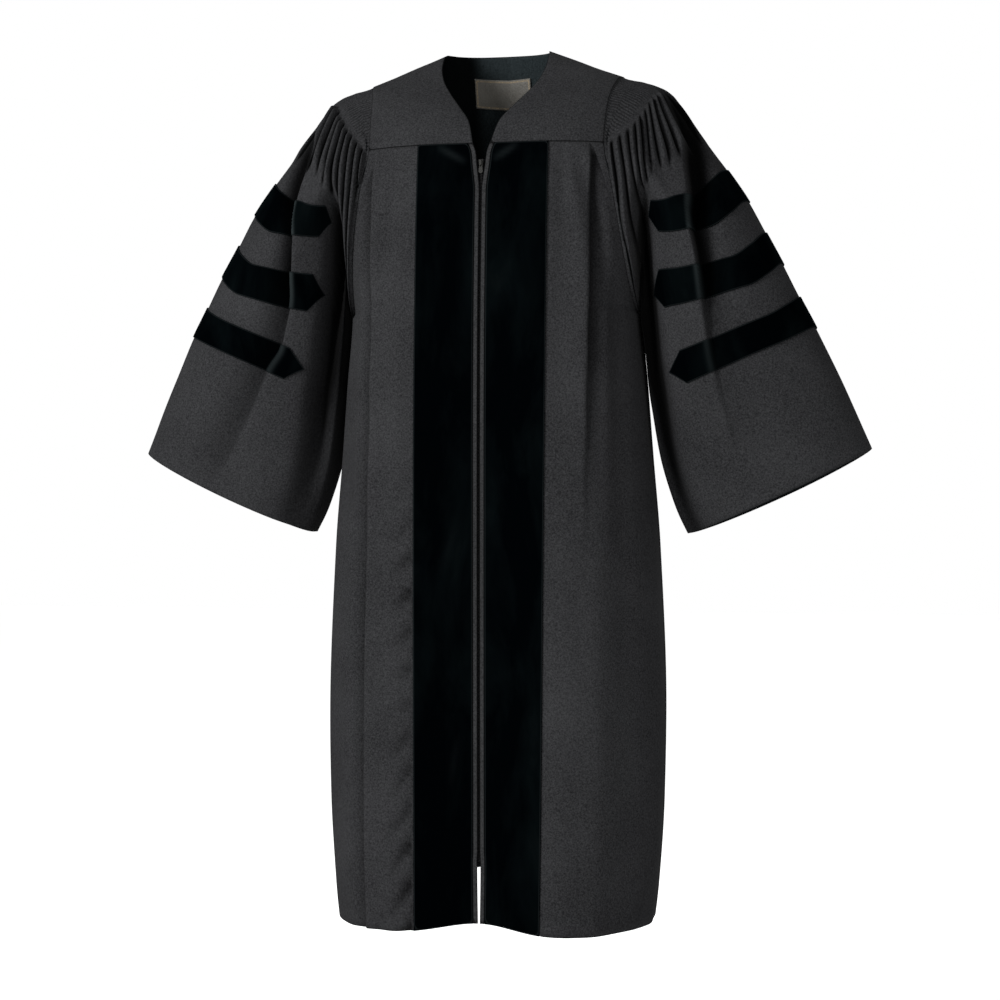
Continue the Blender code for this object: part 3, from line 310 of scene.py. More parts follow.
PUCKER_LEAN = 105
PUCKER_REACH = 0.030
CLOTH_WANDER = 0.0012

# Back
BACK_PLEATS = 16
BACK_RIBS = 48
BACK_PLEAT_HALF_WIDTH = 0.128
BACK_WAVES = 5
BACK_WAVE_HEIGHT = 0.007
BackRow = namedtuple("BackRow", "z pleat rib")
BACK_PLEAT_HEIGHTS = (
    BackRow(-0.150, 0.0004, 0.3),
    BackRow(-0.165, 0.0006, 1.0),
    BackRow(-0.185, 0.0018, 0.8),
    BackRow(-0.215, 0.0040, 0.0),
    BackRow(-0.270, 0.0054, 0.0),
    BackRow(-0.340, 0.0054, 0.0),
    BackRow(-0.480, 0.0034, 0.0),
    BackRow(-0.700, 0.0010, 0.0),
    BackRow(-0.900, 0.0000, 0.0),
)

# Zip
TAPE_SET_BACK = 0.0034
CHAIN_SET_BACK = 0.0017
CHAIN_TOP_Z = -0.1925
ZIP_END_Z = -1.199
TOOTH_PITCH = 0.0020
TOOTH_WIDTH = 0.0030
TOOTH_HEIGHT = 0.0011
TAPE_HALF_WIDTH = 0.013
TAPE_WALL = 0.0008
TAPE_TOP_Z = -0.1785

# Fields for what a piece of cloth was cut to: width across, length down, flat area, and what it rests on; no
# pieces are listed
Cut = namedtuple("Cut", "width length area rests_on")

# Shade inside the neck, on the wearer's right of the label
HOLLOW_SHADE = 0.92
HOLLOW_X = -0.034
HOLLOW_BLEND = 0.024

# Label
LABEL_WIDTH = 0.088
LABEL_HEIGHT = 0.048
LABEL_CENTRE_X = -0.010
LABEL_CENTRE_ROW = 0.640


def curve(rows, key, value, at):
    """A cubic through a table's column, with no overshoot, held level past its ends."""
    knots = np.array([getattr(row, key) for row in rows], float)
    values = np.array([getattr(row, value) for row in rows], float)
    return cubic(knots, values, at)


def cubic(knots, values, at):
    knots = np.asarray(knots, float)
    values = np.asarray(values, float)
    if knots[-1] < knots[0]:
        knots = knots[::-1]
        values = values[::-1]
    at = np.clip(np.asarray(at, float), knots[0], knots[-1])
    steps = np.diff(knots)
    slopes = np.diff(values) / steps
    tangents = np.zeros(len(knots))
    tangents[0] = slopes[0]
    tangents[-1] = slopes[-1]
    before, after = slopes[:-1], slopes[1:]
    both = before * after > 0
    total = np.where(both, before + after, 1.0)
    tangents[1:-1] = np.where(both, 2 * before * after / total, 0.0)
    place = np.clip(np.searchsorted(knots, at, side="right") - 1, 0, len(steps) - 1)
    step = steps[place]
    t = (at - knots[place]) / step
    a, b = values[place], values[place + 1]
    ta, tb = tangents[place] * step, tangents[place + 1] * step
    return (
        a * (2 * t**3 - 3 * t**2 + 1)
        + ta * (t**3 - 2 * t**2 + t)
        + b * (3 * t**2 - 2 * t**3)
        + tb * (t**3 - t**2)
    )


def smoothstep(t):
    t = np.clip(t, 0.0, 1.0)
    return t * t * (3 - 2 * t)


def bump(distance, half_width):
    return np.exp(-((distance / half_width) ** 2))


def tube(phase):
    """A row of round tubes side by side: 1 along each crown, less than 0 in each valley."""
    away = np.abs(phase - np.round(phase)) * 2
    return 1.6 * (1 - away**2.2) - 0.6


def valley(height):
    """How deep in a valley between tubes a point is, from 0 to 1."""
    return smoothstep((0.45 - height) / 0.8)


def soft_noise(a, b, seed):
    """A smooth uneven value near 0, from two places on a surface."""
    made = np.random.default_rng(seed)
    total = 0.0
    for octave in range(5):
        angle = made.uniform(0, 2 * math.pi)
        pitch = made.uniform(0.7, 1.3) * 1.6**octave
        phase = made.uniform(0, 2 * math.pi)
        total = total + np.sin(pitch * (a * math.cos(angle) + b * math.sin(angle)) + phase) / 1.5**octave
    return total / 2.4


def body_points(z, turn):
    angle = np.asarray(turn, float) * math.pi / 2
    width = curve(BODY_SECTIONS, "z", "half_width", z)
    x = width * np.abs(np.sin(angle)) ** BODY_POWER
    centre = curve(BODY_SECTIONS, "z", "centre", z)
    crown = curve(BODY_SECTIONS, "z", "crown", z)
    back = curve(BODY_SECTIONS, "z", "back", z)
    front_depth = centre + (crown - centre) * smoothstep(x / width / CROWN_AT)
    depth = np.where(turn <= 1, front_depth, back)
    cosine = np.cos(angle)
    y = -depth * np.sign(cosine) * np.abs(cosine) ** BODY_POWER
    return np.stack([x, y, np.full_like(x, z)], axis=-1)


def armhole_points(angle, front):
    radians = np.radians(angle)
    depth = np.where(front, -ARMHOLE_FRONT, ARMHOLE_BACK)
    x = curve(ARMHOLE_X, "angle", "x", angle)
    y = depth * np.cos(radians)
    z = ARMHOLE_MIDDLE_Z + ARMHOLE_HALF_HEIGHT * np.sin(radians)
    return np.stack(np.broadcast_arrays(x, y, z), axis=-1)


def armhole_at(z, front):
    share = min(max((z - ARMHOLE_MIDDLE_Z) / ARMHOLE_HALF_HEIGHT, -1.0), 1.0)
    return armhole_points(math.degrees(math.asin(share)), front)


def body_line(z, front, steps=180):
    if z > UNDERARM_Z:
        end = armhole_at(z, front)
    else:
        end = body_points(z, np.array(1.0))
        end[1] = 0.0
    width = float(curve(BODY_SECTIONS, "z", "half_width", z))
    share = min(end[0] / width, 1.0) ** (1 / BODY_POWER)
    turn = math.asin(share) / (math.pi / 2)
    last = turn if front else 2 - turn
    first = 0.0 if front else 2.0
    miss = end - body_points(z, np.array(last))
    shares = np.linspace(0, 1, steps + 1)
    points = body_points(z, first + (last - first) * shares)
    return points + miss * shares[:, None] ** 3


def arcs_of(points):
    return np.concatenate([[0.0], np.cumsum(np.linalg.norm(np.diff(points, axis=0), axis=1))])


def points_at(points, arcs, at):
    at = np.clip(at, 0.0, arcs[-1])
    return np.stack([np.interp(at, arcs, points[:, axis]) for axis in range(3)], axis=-1)


def normals_of(grid):
    down = np.gradient(grid, axis=0)
    across = np.gradient(grid, axis=1)
    normal = np.cross(down, across)
    return normal / np.maximum(np.linalg.norm(normal, axis=-1, keepdims=True), 1e-12)


def moved_out(grid, distance):
    return grid + normals_of(grid) * distance


def grid_piece(name, grid, side, wall, materials, outward=False, double=False):
    """A cloth wall on a grid of points, rows down and columns round the body."""
    rows, columns = grid.shape[:2]
    index = np.arange(rows * columns).reshape(rows, columns)
    corners = [index[:-1, :-1], index[1:, :-1], index[1:, 1:], index[:-1, 1:]]
    faces = np.stack(corners, axis=-1).reshape(-1, 4).tolist()
    made = shell(name, grid.reshape(-1, 3), faces, side, wall, materials, outward, double)
    add_values(made, "edge_distance", edge_distance(grid))
    return made


def add_values(piece, name, values):
    """A value at each point of a piece, for its material to read."""
    made = piece.data.attributes.new(name, "FLOAT", "POINT")
    made.data.foreach_set("value", np.asarray(values, np.float32).ravel())


def edge_distance(grid):
    """How far each point of a grid is from the nearest edge of its cloth."""
    nearest = np.full(grid.shape[:2], np.inf)
    for axis in (0, 1):
        steps = np.linalg.norm(np.diff(grid, axis=axis), axis=-1)
        start = np.zeros(grid.shape[:2])
        if axis == 0:
            start[1:] = np.cumsum(steps, axis=0)
            whole = start[-1:]
        else:
            start[:, 1:] = np.cumsum(steps, axis=1)
            whole = start[:, -1:]
        nearest = np.minimum(nearest, np.minimum(start, whole - start))
    return nearest


def shell(name, points, faces, side, wall, materials, outward=False, double=False):
    """A cloth wall on points and faces made for the wearer's left; the right mirrors them."""
    if side < 0:
        faces = [face[::-1] for face in faces]
    mesh = bpy.data.meshes.new(name)
    mesh.from_pydata((points * np.array([side, 1, 1])).tolist(), [], faces)
    mesh.shade_smooth()
    made = bpy.data.objects.new(name, mesh)
    bpy.context.scene.collection.objects.link(made)
    for each in materials:
        mesh.materials.append(each)
    if wall:
        thick = made.modifiers.new("wall", "SOLIDIFY")
        thick.thickness = wall
        thick.offset = 1.0 if outward else -1.0
        if double:
            thick.material_offset = 1
            thick.material_offset_rim = 0
    return made


def body_heights(top):
    upper = np.linspace(top, -0.23, 16)
    middle = np.linspace(-0.23, UNDERARM_Z, 24)[1:]
    lower = np.linspace(UNDERARM_Z, HEM_Z, 96)[1:]
    return np.concatenate([upper, middle, lower])


def panel_width(z):
    if z <= UNDERARM_Z:
        return arcs_of(body_line(z, True))[-1]
    down = (YOKE_SEAM_Z - z) / (YOKE_SEAM_Z - UNDERARM_Z)
    ends = [arcs_of(body_line(at, True))[-1] for at in (YOKE_SEAM_Z, UNDERARM_Z)]
    return ends[0] + (ends[1] - ends[0]) * down


def front_row(side, z, arcs=None, whole=None):
    """Points of a front at one height, by distance from the centre or by share of its panel."""
    line = body_line(z, True)
    lengths = arcs_of(line)
    stands = np.zeros(np.shape(arcs))
    if whole is not None:
        inner = VELVET_OUTER[side]
        arcs = inner + (panel_width(z) - inner) * np.minimum(whole, EVEN_SHARE)
        rest = np.maximum(whole - EVEN_SHARE, 0.0) / (1 - EVEN_SHARE)
        arcs = arcs + (lengths[-1] - arcs) * rest
        stands = crease_height(side, whole * PANEL_SPANS, z) + drapes(side, arcs, z)[0]
    here = points_at(line, lengths, arcs)
    ahead = points_at(line, lengths, arcs + 0.002) - points_at(line, lengths, arcs - 0.002)
    outward = np.stack([ahead[:, 1], -ahead[:, 0], np.zeros(len(ahead))], axis=-1)
    outward /= np.linalg.norm(outward, axis=-1, keepdims=True)
    edge = smoothstep((lengths[-1] - arcs) / 0.03)
    here += outward * (stands * edge)[:, None]
    down = smoothstep((UNDERARM_Z - z) / (UNDERARM_Z - HEM_Z))
    here[:, 2] += HEM_RISE * down * bump(here[:, 0], HEM_RISE_HALF_WIDTH)
    return here


def crease_height(side, place, z):
    down = smoothstep((YOKE_SEAM_Z - z) / (YOKE_SEAM_Z - HEM_Z))
    height = np.zeros_like(place)
    for crease in FRONT_CREASES:
        if crease.side == side:
            share = crease.top_share + (crease.hem_share - crease.top_share) * down
            height += crease.height * share * bump(place - crease.column, crease.half_width)
    return height * smoothstep((YOKE_SEAM_Z - z) / 0.06)


def drapes(side, arcs, z):
    """Folds, puckers beside the velvet's seam and a slight unevenness of the plain panel, and
    the shade painted at each point: a painted shadow behind each knife fold and painted
    shade in the puckers' valleys."""
    painted_shade = np.zeros_like(arcs)
    down = (YOKE_SEAM_Z - z) / (YOKE_SEAM_Z - HEM_Z)
    height = np.zeros_like(arcs)
    for drape in DRAPES:
        if drape.side == side:
            away = arcs - (drape.top_arc + (drape.low_arc - drape.top_arc) * down)
            share = smoothstep((YOKE_SEAM_Z - z) / 0.02) * smoothstep((z - drape.end_z) / 0.45)
            profile = bump(away, drape.half_width)
            if drape.knife:
                behind = -0.6 * bump(np.maximum(away - 0.004, 0.0), drape.half_width)
                profile = np.where(away < 0, profile, 1 - smoothstep(away / 0.004) * (1 - behind))
                # Painted shadow on the cloth just behind the knife fold's edge.
                shadow = smoothstep(away / 0.003) * bump(np.maximum(away - 0.003, 0.0), 0.017)
                painted_shade += DRAPE_SHADE[side] * share * shadow
            height += drape.height * share * profile
    beside = arcs - VELVET_OUTER[side]
    lean = z * PUCKER_WAVES + beside * PUCKER_LEAN
    wave = np.sin(lean + 3.0 * soft_noise(beside * 20, z * 9, 31 + side))
    some = np.clip(0.95 + 0.5 * soft_noise(beside * 8, z * 13, 61 + side), 0.35, 1.0)
    pucker = wave * some * bump(beside, PUCKER_REACH)
    low = 0.25 + 0.75 * smoothstep((-0.80 - z) / 0.15)
    height += PUCKER_HEIGHT[side] * low * pucker * smoothstep(beside / 0.004)
    # Painted shade in the puckers' valleys, low on the wearer's right front.
    if side < 0:
        dark = PUCKER_SHADE * smoothstep((PUCKER_TOP_Z - z) / 0.20)
        painted_shade = painted_shade + dark * np.maximum(-pucker - 0.1, 0.0) * smoothstep(beside / 0.001)
    wander = soft_noise(arcs * 22, z * 7, 41 + side)
    height += CLOTH_WANDER * wander * smoothstep(beside / 0.02) * smoothstep((YOKE_SEAM_Z - z) / 0.05)
    return height, painted_shade


def front_grids(side):
    """The front panel, and what lies on it: the edge strip and the velvet."""
    heights = body_heights(YOKE_SEAM_Z)
    whole = np.linspace(0, 1, PLAIN_COLUMNS + 1)[1:]
    panel, strip, velvet, shade = [], [], [], []
    for z in heights:
        gap = float(curve(FRONT_EDGE, "z", "half_gap", z))
        inner = gap + STRIP_WIDTH
        outer = VELVET_OUTER[side]
        under = front_row(side, z, arcs=np.linspace(gap, outer, UNDER_COLUMNS))
        plain = front_row(side, z, whole=whole)
        panel.append(np.concatenate([under, plain]))
        arcs = outer + (panel_width(z) - outer) * np.minimum(whole, EVEN_SHARE)
        # Painted shade from the knife folds and puckers, kept for the panel's material.
        painted_shade = drapes(side, arcs, z)[1] * (whole < EVEN_SHARE + 0.1)
        shade.append(np.concatenate([np.zeros(UNDER_COLUMNS), painted_shade]))
        strip.append(front_row(side, z, arcs=np.linspace(gap, inner - 0.0006, 5)))
        velvet.append(front_row(side, z, arcs=np.linspace(inner, outer, 34)))
    return np.array(panel), np.array(strip), np.array(velvet), np.array(shade)


def velvet_crease_highlight(side, grid):
    """How strong the highlight painted along the velvet facing's crush lines is at each point."""
    x, z = np.abs(grid[..., 0]), grid[..., 2]
    near = np.zeros(x.shape)
    for line in VELVET_CREASE_HIGHLIGHTS:
        if line.side == side:
            across, drop = line.low_x - line.top_x, line.low_z - line.top_z
            part = ((x - line.top_x) * across + (z - line.top_z) * drop) / (across**2 + drop**2)
            part = np.clip(part, 0, 1)
            away = np.hypot(x - line.top_x - part * across, z - line.top_z - part * drop)
            taper = 1 - (2 * part - 1) ** 2
            near = np.maximum(near, line.share * taper * bump(away, CREASE_HIGHLIGHT_HALF_WIDTH))
    return near


def build_fronts(mats):
    made = []
    cloth = [mats["cloth"], mats["inside"]]
    for side, name in ((1, "left"), (-1, "right")):
        panel, strip, velvet, shade = front_grids(side)
        piece = grid_piece(f"shell_front_{name}", panel, side, WALL, cloth, double=True)
        # The panel's painted shade, for its material.
        add_values(piece, "shade", shade)
        made.append((piece, f"front_{name}"))
        laid = moved_out(strip, LAY_GAP)
        piece = grid_piece(f"shell_edge_strip_{name}", laid, side, WALL, [mats["edging"]], outward=True)
        made.append((piece, f"edge_strip_{name}"))
        laid = moved_out(velvet, LAY_GAP)
        piece = grid_piece(f"shell_velvet_{name}", laid, side, VELVET_WALL, [mats["velvet"]], outward=True)
        # Painted highlight along the velvet's crush lines.
        add_values(piece, "ridge", velvet_crease_highlight(side, velvet))
        made.append((piece, f"velvet_{name}"))
    return made


def back_grid():
    heights = body_heights(BACK_YOKE_SEAM_Z)
    count = 96
    rows = []
    for z in heights:
        line = body_line(z, False)
        lengths = arcs_of(line)
        inner = BACK_PLEAT_HALF_WIDTH / lengths[-1]
        side = np.linspace(-1, -inner, 25)[:-1]
        middle = np.linspace(-inner, inner, count * 2 + 1)
        shares = np.concatenate([side, middle, -side[::-1]])[::-1]
        here = points_at(line, lengths, lengths[-1] * np.abs(shares))
        place = shares / inner
        inside = smoothstep((1.02 - np.abs(place)) / 0.06)
        pleat = float(curve(BACK_PLEAT_HEIGHTS, "z", "pleat", z))
        rib = float(curve(BACK_PLEAT_HEIGHTS, "z", "rib", z))
        phase = (place + 1) / 2
        height = pleat * tube(phase * BACK_PLEATS + 0.5) * inside
        height += rib * RIB_HEIGHT * tube(phase * BACK_RIBS + 0.5) * inside
        width = float(curve(BODY_SECTIONS, "z", "half_width", z))
        share = np.abs(here[:, 0]) / width
        fade = smoothstep((1 - share) / 0.25)
        down = smoothstep((-0.30 - z) / 0.75)
        height += BACK_WAVE_HEIGHT * down * fade * np.cos(math.pi * BACK_WAVES * share * 0.9)
        here[:, 1] += height
        low = smoothstep((-0.7 - z) / (-0.7 - HEM_Z))
        here[:, 2] += BACK_HEM_RISE * low * np.cos(math.pi / 2 * np.minimum(share, 1.0)) ** 2
        here[:, 0] = np.copysign(here[:, 0], shares)
        rows.append(here)
    return np.array(rows)


def line_through(points, shares):
    arcs = arcs_of(points)
    at = np.asarray(shares) * arcs[-1]
    return np.stack([cubic(arcs, points[:, axis], at) for axis in range(3)], axis=-1)


def shoulder_points(share):
    neck = np.array(FRONT_NECK[0])
    arm = armhole_points(90.0, True)
    drop = curve(SHOULDER_DROP, "share", "drop", share)
    x = neck[0] + (arm[0] - neck[0]) * share
    return np.stack([x, np.zeros_like(x), neck[2] + (arm[2] - neck[2]) * drop], axis=-1)


def coons(a, b, bottom, top, start, end):
    a = a[None, :, None]
    b = b[:, None, None]
    flat = (
        bottom[0] * (1 - a) * (1 - b)
        + bottom[-1] * a * (1 - b)
        + top[0] * (1 - a) * b
        + top[-1] * a * b
    )
    across = bottom[None] * (1 - b) + top[None] * b
    along = start[:, None] * (1 - a) + end[:, None] * a
    return across + along - flat


def yoke_front_grid(columns=46, rows=40):
    a = np.linspace(0, 1, columns)
    b = np.linspace(0, 1, rows)
    seam = body_line(YOKE_SEAM_Z, True)
    arcs = arcs_of(seam)
    neck = np.array(FRONT_NECK[::-1], float)
    bottom = points_at(seam, arcs, neck[0][0] + (arcs[-1] - neck[0][0]) * a)
    neck[0] = bottom[0]
    end = armhole_points(CORNER_ANGLE + (90 - CORNER_ANGLE) * b, True)
    grid = coons(a, b, bottom, shoulder_points(a), line_through(neck, b), end)
    spread = 16 * (a * (1 - a))[None, :] * (b * (1 - b))[:, None]
    grid += YOKE_FULLNESS * spread[..., None] * np.array([0.3, -0.6, 0.74])
    return grid[::-1]


def yoke_back_half(columns=60, rows=40):
    a = np.linspace(0, 1, columns)
    b = np.linspace(0, 1, rows)
    seam = body_line(BACK_YOKE_SEAM_Z, False)
    arcs = arcs_of(seam)
    neck = np.array(BACK_NECK[::-1], float)
    ends = shoulder_points(np.array([0.0, 1.0]))
    neck_share = arcs_of(neck)[-1]
    neck_share /= neck_share + np.linalg.norm(ends[1] - ends[0])
    bottom = points_at(seam, arcs, arcs[-1] * a)
    along = np.clip((a - neck_share) / (1 - neck_share), 0, 1)
    at_neck = line_through(neck, np.minimum(a / neck_share, 1))
    top = np.where((a < neck_share)[:, None], at_neck, shoulder_points(along))
    start = bottom[0] + (top[0] - bottom[0]) * b[:, None]
    end = armhole_points(BACK_CORNER_ANGLE + (90 - BACK_CORNER_ANGLE) * b, False)
    grid = coons(a, b, bottom, top, start, end)
    spread = 4 * (1 - a * a)[None, :] * (b * (1 - b))[:, None]
    grid += YOKE_FULLNESS * spread[..., None] * np.array([0.0, 1.2, 0.5])
    return grid[::-1]


def yoke_back_grid():
    half = yoke_back_half()
    mirrored = half[:, 1:] * np.array([-1, 1, 1])
    return np.concatenate([half[:, ::-1], mirrored], axis=1)


def label_grid():
    """A flat label that follows the inside of the back yoke."""
    half = yoke_back_half(120, 80)
    rows, columns = 30, 50
    b_values = np.linspace(1, 0, 80)
    grid = np.zeros((rows, columns, 3))
    xs = LABEL_CENTRE_X + (np.linspace(0, 1, columns) - 0.5) * LABEL_WIDTH
    for r in range(rows):
        b = LABEL_CENTRE_ROW + (0.5 - r / (rows - 1)) * LABEL_HEIGHT / 0.17
        row = np.array([
            [np.interp(b, b_values[::-1], half[::-1, c, axis]) for axis in range(3)]
            for c in range(half.shape[1])
        ])
        for axis in (1, 2):
            grid[r, :, axis] = np.interp(np.abs(xs), row[:, 0], row[:, axis])
        grid[r, :, 0] = xs
    normal = normals_of(grid)
    normal *= -np.sign(normal[..., 1:2])
    return grid + normal * (WALL + LAY_GAP + 0.0010)


def station_number(name):
    return [station.name for station in STATIONS].index(name)


def station_values(name, along):
    numbers = np.arange(len(STATIONS))
    return cubic(numbers, [getattr(station, name) for station in STATIONS], along)


def sleeve_base(side, along, angle):
    """Points of a sleeve before its small pleats, with the way out, the angle on its half, the
    shade painted in its sunken folds and beside its stepped folds, and the highlight painted
    along each step's edge.
    """
    along, angle = np.broadcast_arrays(np.asarray(along, float), np.asarray(angle, float))
    front = angle <= 90.0
    bend = np.where(front, angle, 180.0 - angle)
    radians = np.radians(bend)
    sine, cosine = np.sin(radians), np.maximum(np.cos(radians), 0.0)
    share = (1 + sine) / 2
    inner_x, outer_x = station_values("inner_x", along), station_values("outer_x", along)
    inner_z, outer_z = station_values("inner_z", along), station_values("outer_z", along)
    straight = station_values("straight", along)
    rest = 1 - share
    fall = straight * rest + (1 - straight) * rest**FALL_POWER
    x = inner_x + (outer_x - inner_x) * share
    shape = curve(BOW_SHAPE, "angle", "share", bend)
    seam_x = armhole_points(bend, front)[..., 0]
    bow_x = np.maximum(x - station_values("bow", 1.0) * shape, seam_x + 0.0015)
    early = seam_x + (bow_x - seam_x) * along
    x = np.where(along < 1, early, x - station_values("bow", along) * shape)
    depth = np.where(front, station_values("front", along), station_values("back", along))
    toward = np.where(front, -1.0, 1.0)
    z = outer_z + (inner_z - outer_z) * fall
    z = z - CUFF_BOW[side] * cosine * smoothstep((BOW_FROM - z) / 0.2)
    sag = curve(FRONT_SAG, "along", "left" if side > 0 else "right", along)
    z = z - np.where(front, sag * curve(SAG_SHAPE, "angle", "share", bend), 0.0)
    y = toward * depth * cosine ** station_values("power", along)

    painted_shade, ridge = np.zeros(bend.shape), np.zeros(bend.shape)
    down = along / LAST_STATION
    strength = station_values("fold", along)
    front_folds = LEFT_FRONT_FOLDS if side > 0 else RIGHT_FRONT_FOLDS
    for folds, here in ((front_folds, front), (BACK_FOLDS, ~front)):
        for fold in folds:
            reach = smoothstep((down - fold.start) / 0.12 + 0.5)
            if fold.end < 1:
                reach = reach * (1 - smoothstep((down - fold.end) / 0.12 + 0.5))
            middle = fold.angle + (fold.lower_angle - fold.angle) * smoothstep((down - 0.4) / 0.4)
            rise = fold.height * strength * reach * bump(bend - middle, fold.half_width)
            y = y + np.where(here, toward * rise, 0.0)
            # A sunken fold gets painted shade along its trough.
            if fold.height < 0:
                dark = FOLD_SHADE * np.sqrt(strength) * reach * bump(bend - middle, fold.half_width)
                painted_shade = painted_shade + np.where(here, dark, 0.0)
    for step in STEPS:
        if step.side == side:
            here = front == step.front
            middle = curve(step.path, "along", "angle", along)
            away = bend - middle
            share_here = curve(step.path, "along", "share", along)
            wide = 5 + 0.17 * np.maximum(middle, 0)
            low = -step.drop * smoothstep(away / 3.5) * bump(np.maximum(away - 3.5, 0), step.after)
            high = step.ridge * np.where(away < 0, bump(away, step.before), 1 - smoothstep(away / 3.5))
            rise = share_here * (low + high) * smoothstep((90 - bend) / 12)
            y = y + np.where(here, toward * rise, 0.0)
            # Painted shadow beside the step, where the cloth drops behind it.
            shadow = smoothstep((away + 0.5) / 3) * bump(np.maximum(away - wide, 0), step.after * 0.7)
            painted_shade = painted_shade + np.where(here, np.minimum(1.3 * share_here, 1.0) * shadow, 0.0)
            # Painted highlight along the step's edge, used by the velvet bars.
            ridge = ridge + np.where(here, share_here * bump(away, 2.2), 0.0)
    points = np.stack([x, y, z], axis=-1)
    half = np.hypot(outer_x - inner_x, outer_z - inner_z)
    across_x, across_z = (outer_x - inner_x) / half, (outer_z - inner_z) / half
    ways = [across_x * depth * sine, toward * half / 2 * cosine, across_z * depth * sine]
    outward = np.stack(ways, axis=-1)
    outward /= np.linalg.norm(outward, axis=-1, keepdims=True)
    return points, outward, front, bend, painted_shade, ridge


def head_line(side, front, shares):
    """The line where the gauging lets go, at shares of the way from the yoke's corner up."""
    along = curve(HEAD_LINE[side], "share", "along", shares)
    corner = station_values("corner", along)
    bend = corner + (90 - corner) * shares
    return sleeve_base(side, along, bend if front else 180 - bend)[0]


def hanging_share(side, front, points):
    """Which part of the head line each point hangs from, and how far below it the point is."""
    shares = np.linspace(0, 1, 61)
    line = head_line(side, front, shares)
    slope = curve(HEAD_LINE[side], "share", "slope", shares)
    flat = points.reshape(-1, 3)
    drop = np.maximum(line[None, :, 2] - flat[:, None, 2], 0.0)
    x = line[None, :, 0] + slope[None] * drop
    x = np.maximum.accumulate(x, axis=1)
    place = np.sum(x < flat[:, :1], axis=1).clip(1, len(shares) - 1)
    rows = np.arange(len(flat))
    low, high = x[rows, place - 1], x[rows, place]
    part = np.clip((flat[:, 0] - low) / np.maximum(high - low, 1e-6), 0, 1)
    share = shares[place - 1] + (shares[place] - shares[place - 1]) * part
    below = np.interp(share, shares, line[:, 2]) - flat[:, 2]
    shape = points.shape[:-1]
    inside = (flat[:, 0] - x[:, 0]).reshape(shape)
    return share.reshape(shape), below.reshape(shape), inside


def sleeve_points(side, along, angle):
    """Points of a sleeve, with the shade painted on each and the highlight painted near the edge of a
    stepped fold.
    Along is 0 at the armhole, angle -90 at the inner fold and 90 at the outer one."""
    points, outward, front, bend, painted_shade, ridge = sleeve_base(side, along, angle)
    along = np.broadcast_to(np.asarray(along, float), bend.shape)
    corner = station_values("corner", along)
    gauged = (bend - corner) / (90 - corner)
    ends = curve(HEAD_LINE[side], "share", "along", np.clip(gauged, 0, 1))
    rib = smoothstep(along / 0.3) * (1 - smoothstep((along - ends) / 0.5 + 1)) * smoothstep(gauged / 0.02)
    rib = rib * smoothstep((1.02 - gauged) / 0.1)
    ribs = tube(np.clip(gauged, 0, 1) * RIBS)
    height = RIB_HEIGHT * rib * ribs
    # Painted shade in the valleys between the gauged ribs, added to the folds' and steps' painted shade.
    shade = 0.75 * rib * valley(ribs) + painted_shade
    made = np.random.default_rng(11 if side > 0 else 12)
    size = made.uniform(0.55, 1.3, (2, PLEATS + 2))
    reach = made.uniform(0.6, 1.35, (2, PLEATS + 2))
    for half in (True, False):
        share, below, inside = hanging_share(side, half, points)
        wander = 0.18 * soft_noise(share * 9, below * 30, 5 + side)
        phase = share**0.9 * PLEATS + wander * smoothstep((PLEATS - share * PLEATS) / 1.5)
        which = np.clip(np.round(phase).astype(int), 0, PLEATS)
        layer = 0 if half else 1
        length = curve(HEAD_LINE[side], "share", "length", share) * reach[layer, which]
        grown = smoothstep(below / 0.016)
        gone = 1 - smoothstep((below - 0.45 * length) / (0.75 * length))
        near = smoothstep(inside / 0.006) * smoothstep(along - 0.9)
        near = near * (1 - 0.8 * smoothstep((share - 0.80) / 0.16))
        near = near * (1 - smoothstep((along - 4.1) / 0.8) * smoothstep((bend + 58) / 8))
        strength = size[layer, which] * grown * gone * near
        pleat = PLEAT_HEIGHT * strength * tube(phase)
        height = height + np.where(front == half, pleat, 0.0)
        # Painted shade in the valleys between the pleats.
        valleys = np.minimum(strength * 2.6, 1.0) * valley(tube(phase) - 0.22)
        shade = shade + np.where(front == half, valleys, 0.0)
    loose = smoothstep((along - 5) / 3) * CLOTH_WANDER
    x, y, z = np.moveaxis(points, -1, 0)
    height = height + loose * soft_noise(x * 16, z * 12 + y * 9, 51 + side)
    # Painted shade in the gap between the sleeve's inner side and the body.
    beyond = smoothstep((GAP_ANGLE - bend) / 10) * smoothstep((along - 2) / 2)
    shade = shade + GAP_SHADE * beyond * (1 - 0.6 * smoothstep((along - 9) / 4))
    return points + outward * height[..., None], np.clip(shade, 0, 1), ridge


UPPER_ROWS = np.concatenate([np.linspace(0, 1, 7), np.linspace(1, 4, 57)[1:], np.linspace(4, 6, 14)[1:]])
LOWER_ROWS = np.linspace(6, LAST_STATION, 61)
UNDERARM_FINE = 40
HEAD_FINE = 170


def sleeve_ring(along, under_count, head_count):
    """Angles round a sleeve, closer together over its head."""
    corner = station_values("corner", along)
    under = np.arange(under_count) / under_count
    head = np.arange(head_count) / head_count
    below = -90 + (corner + 90) * under
    above = corner + (90 - corner) * head
    top = np.full(corner.shape, 90.0)
    return np.concatenate(
        [below, above, top, 180 - above[:, :0:-1], 180 - above[:, :1], 180 - below[:, :0:-1]], axis=1
    )


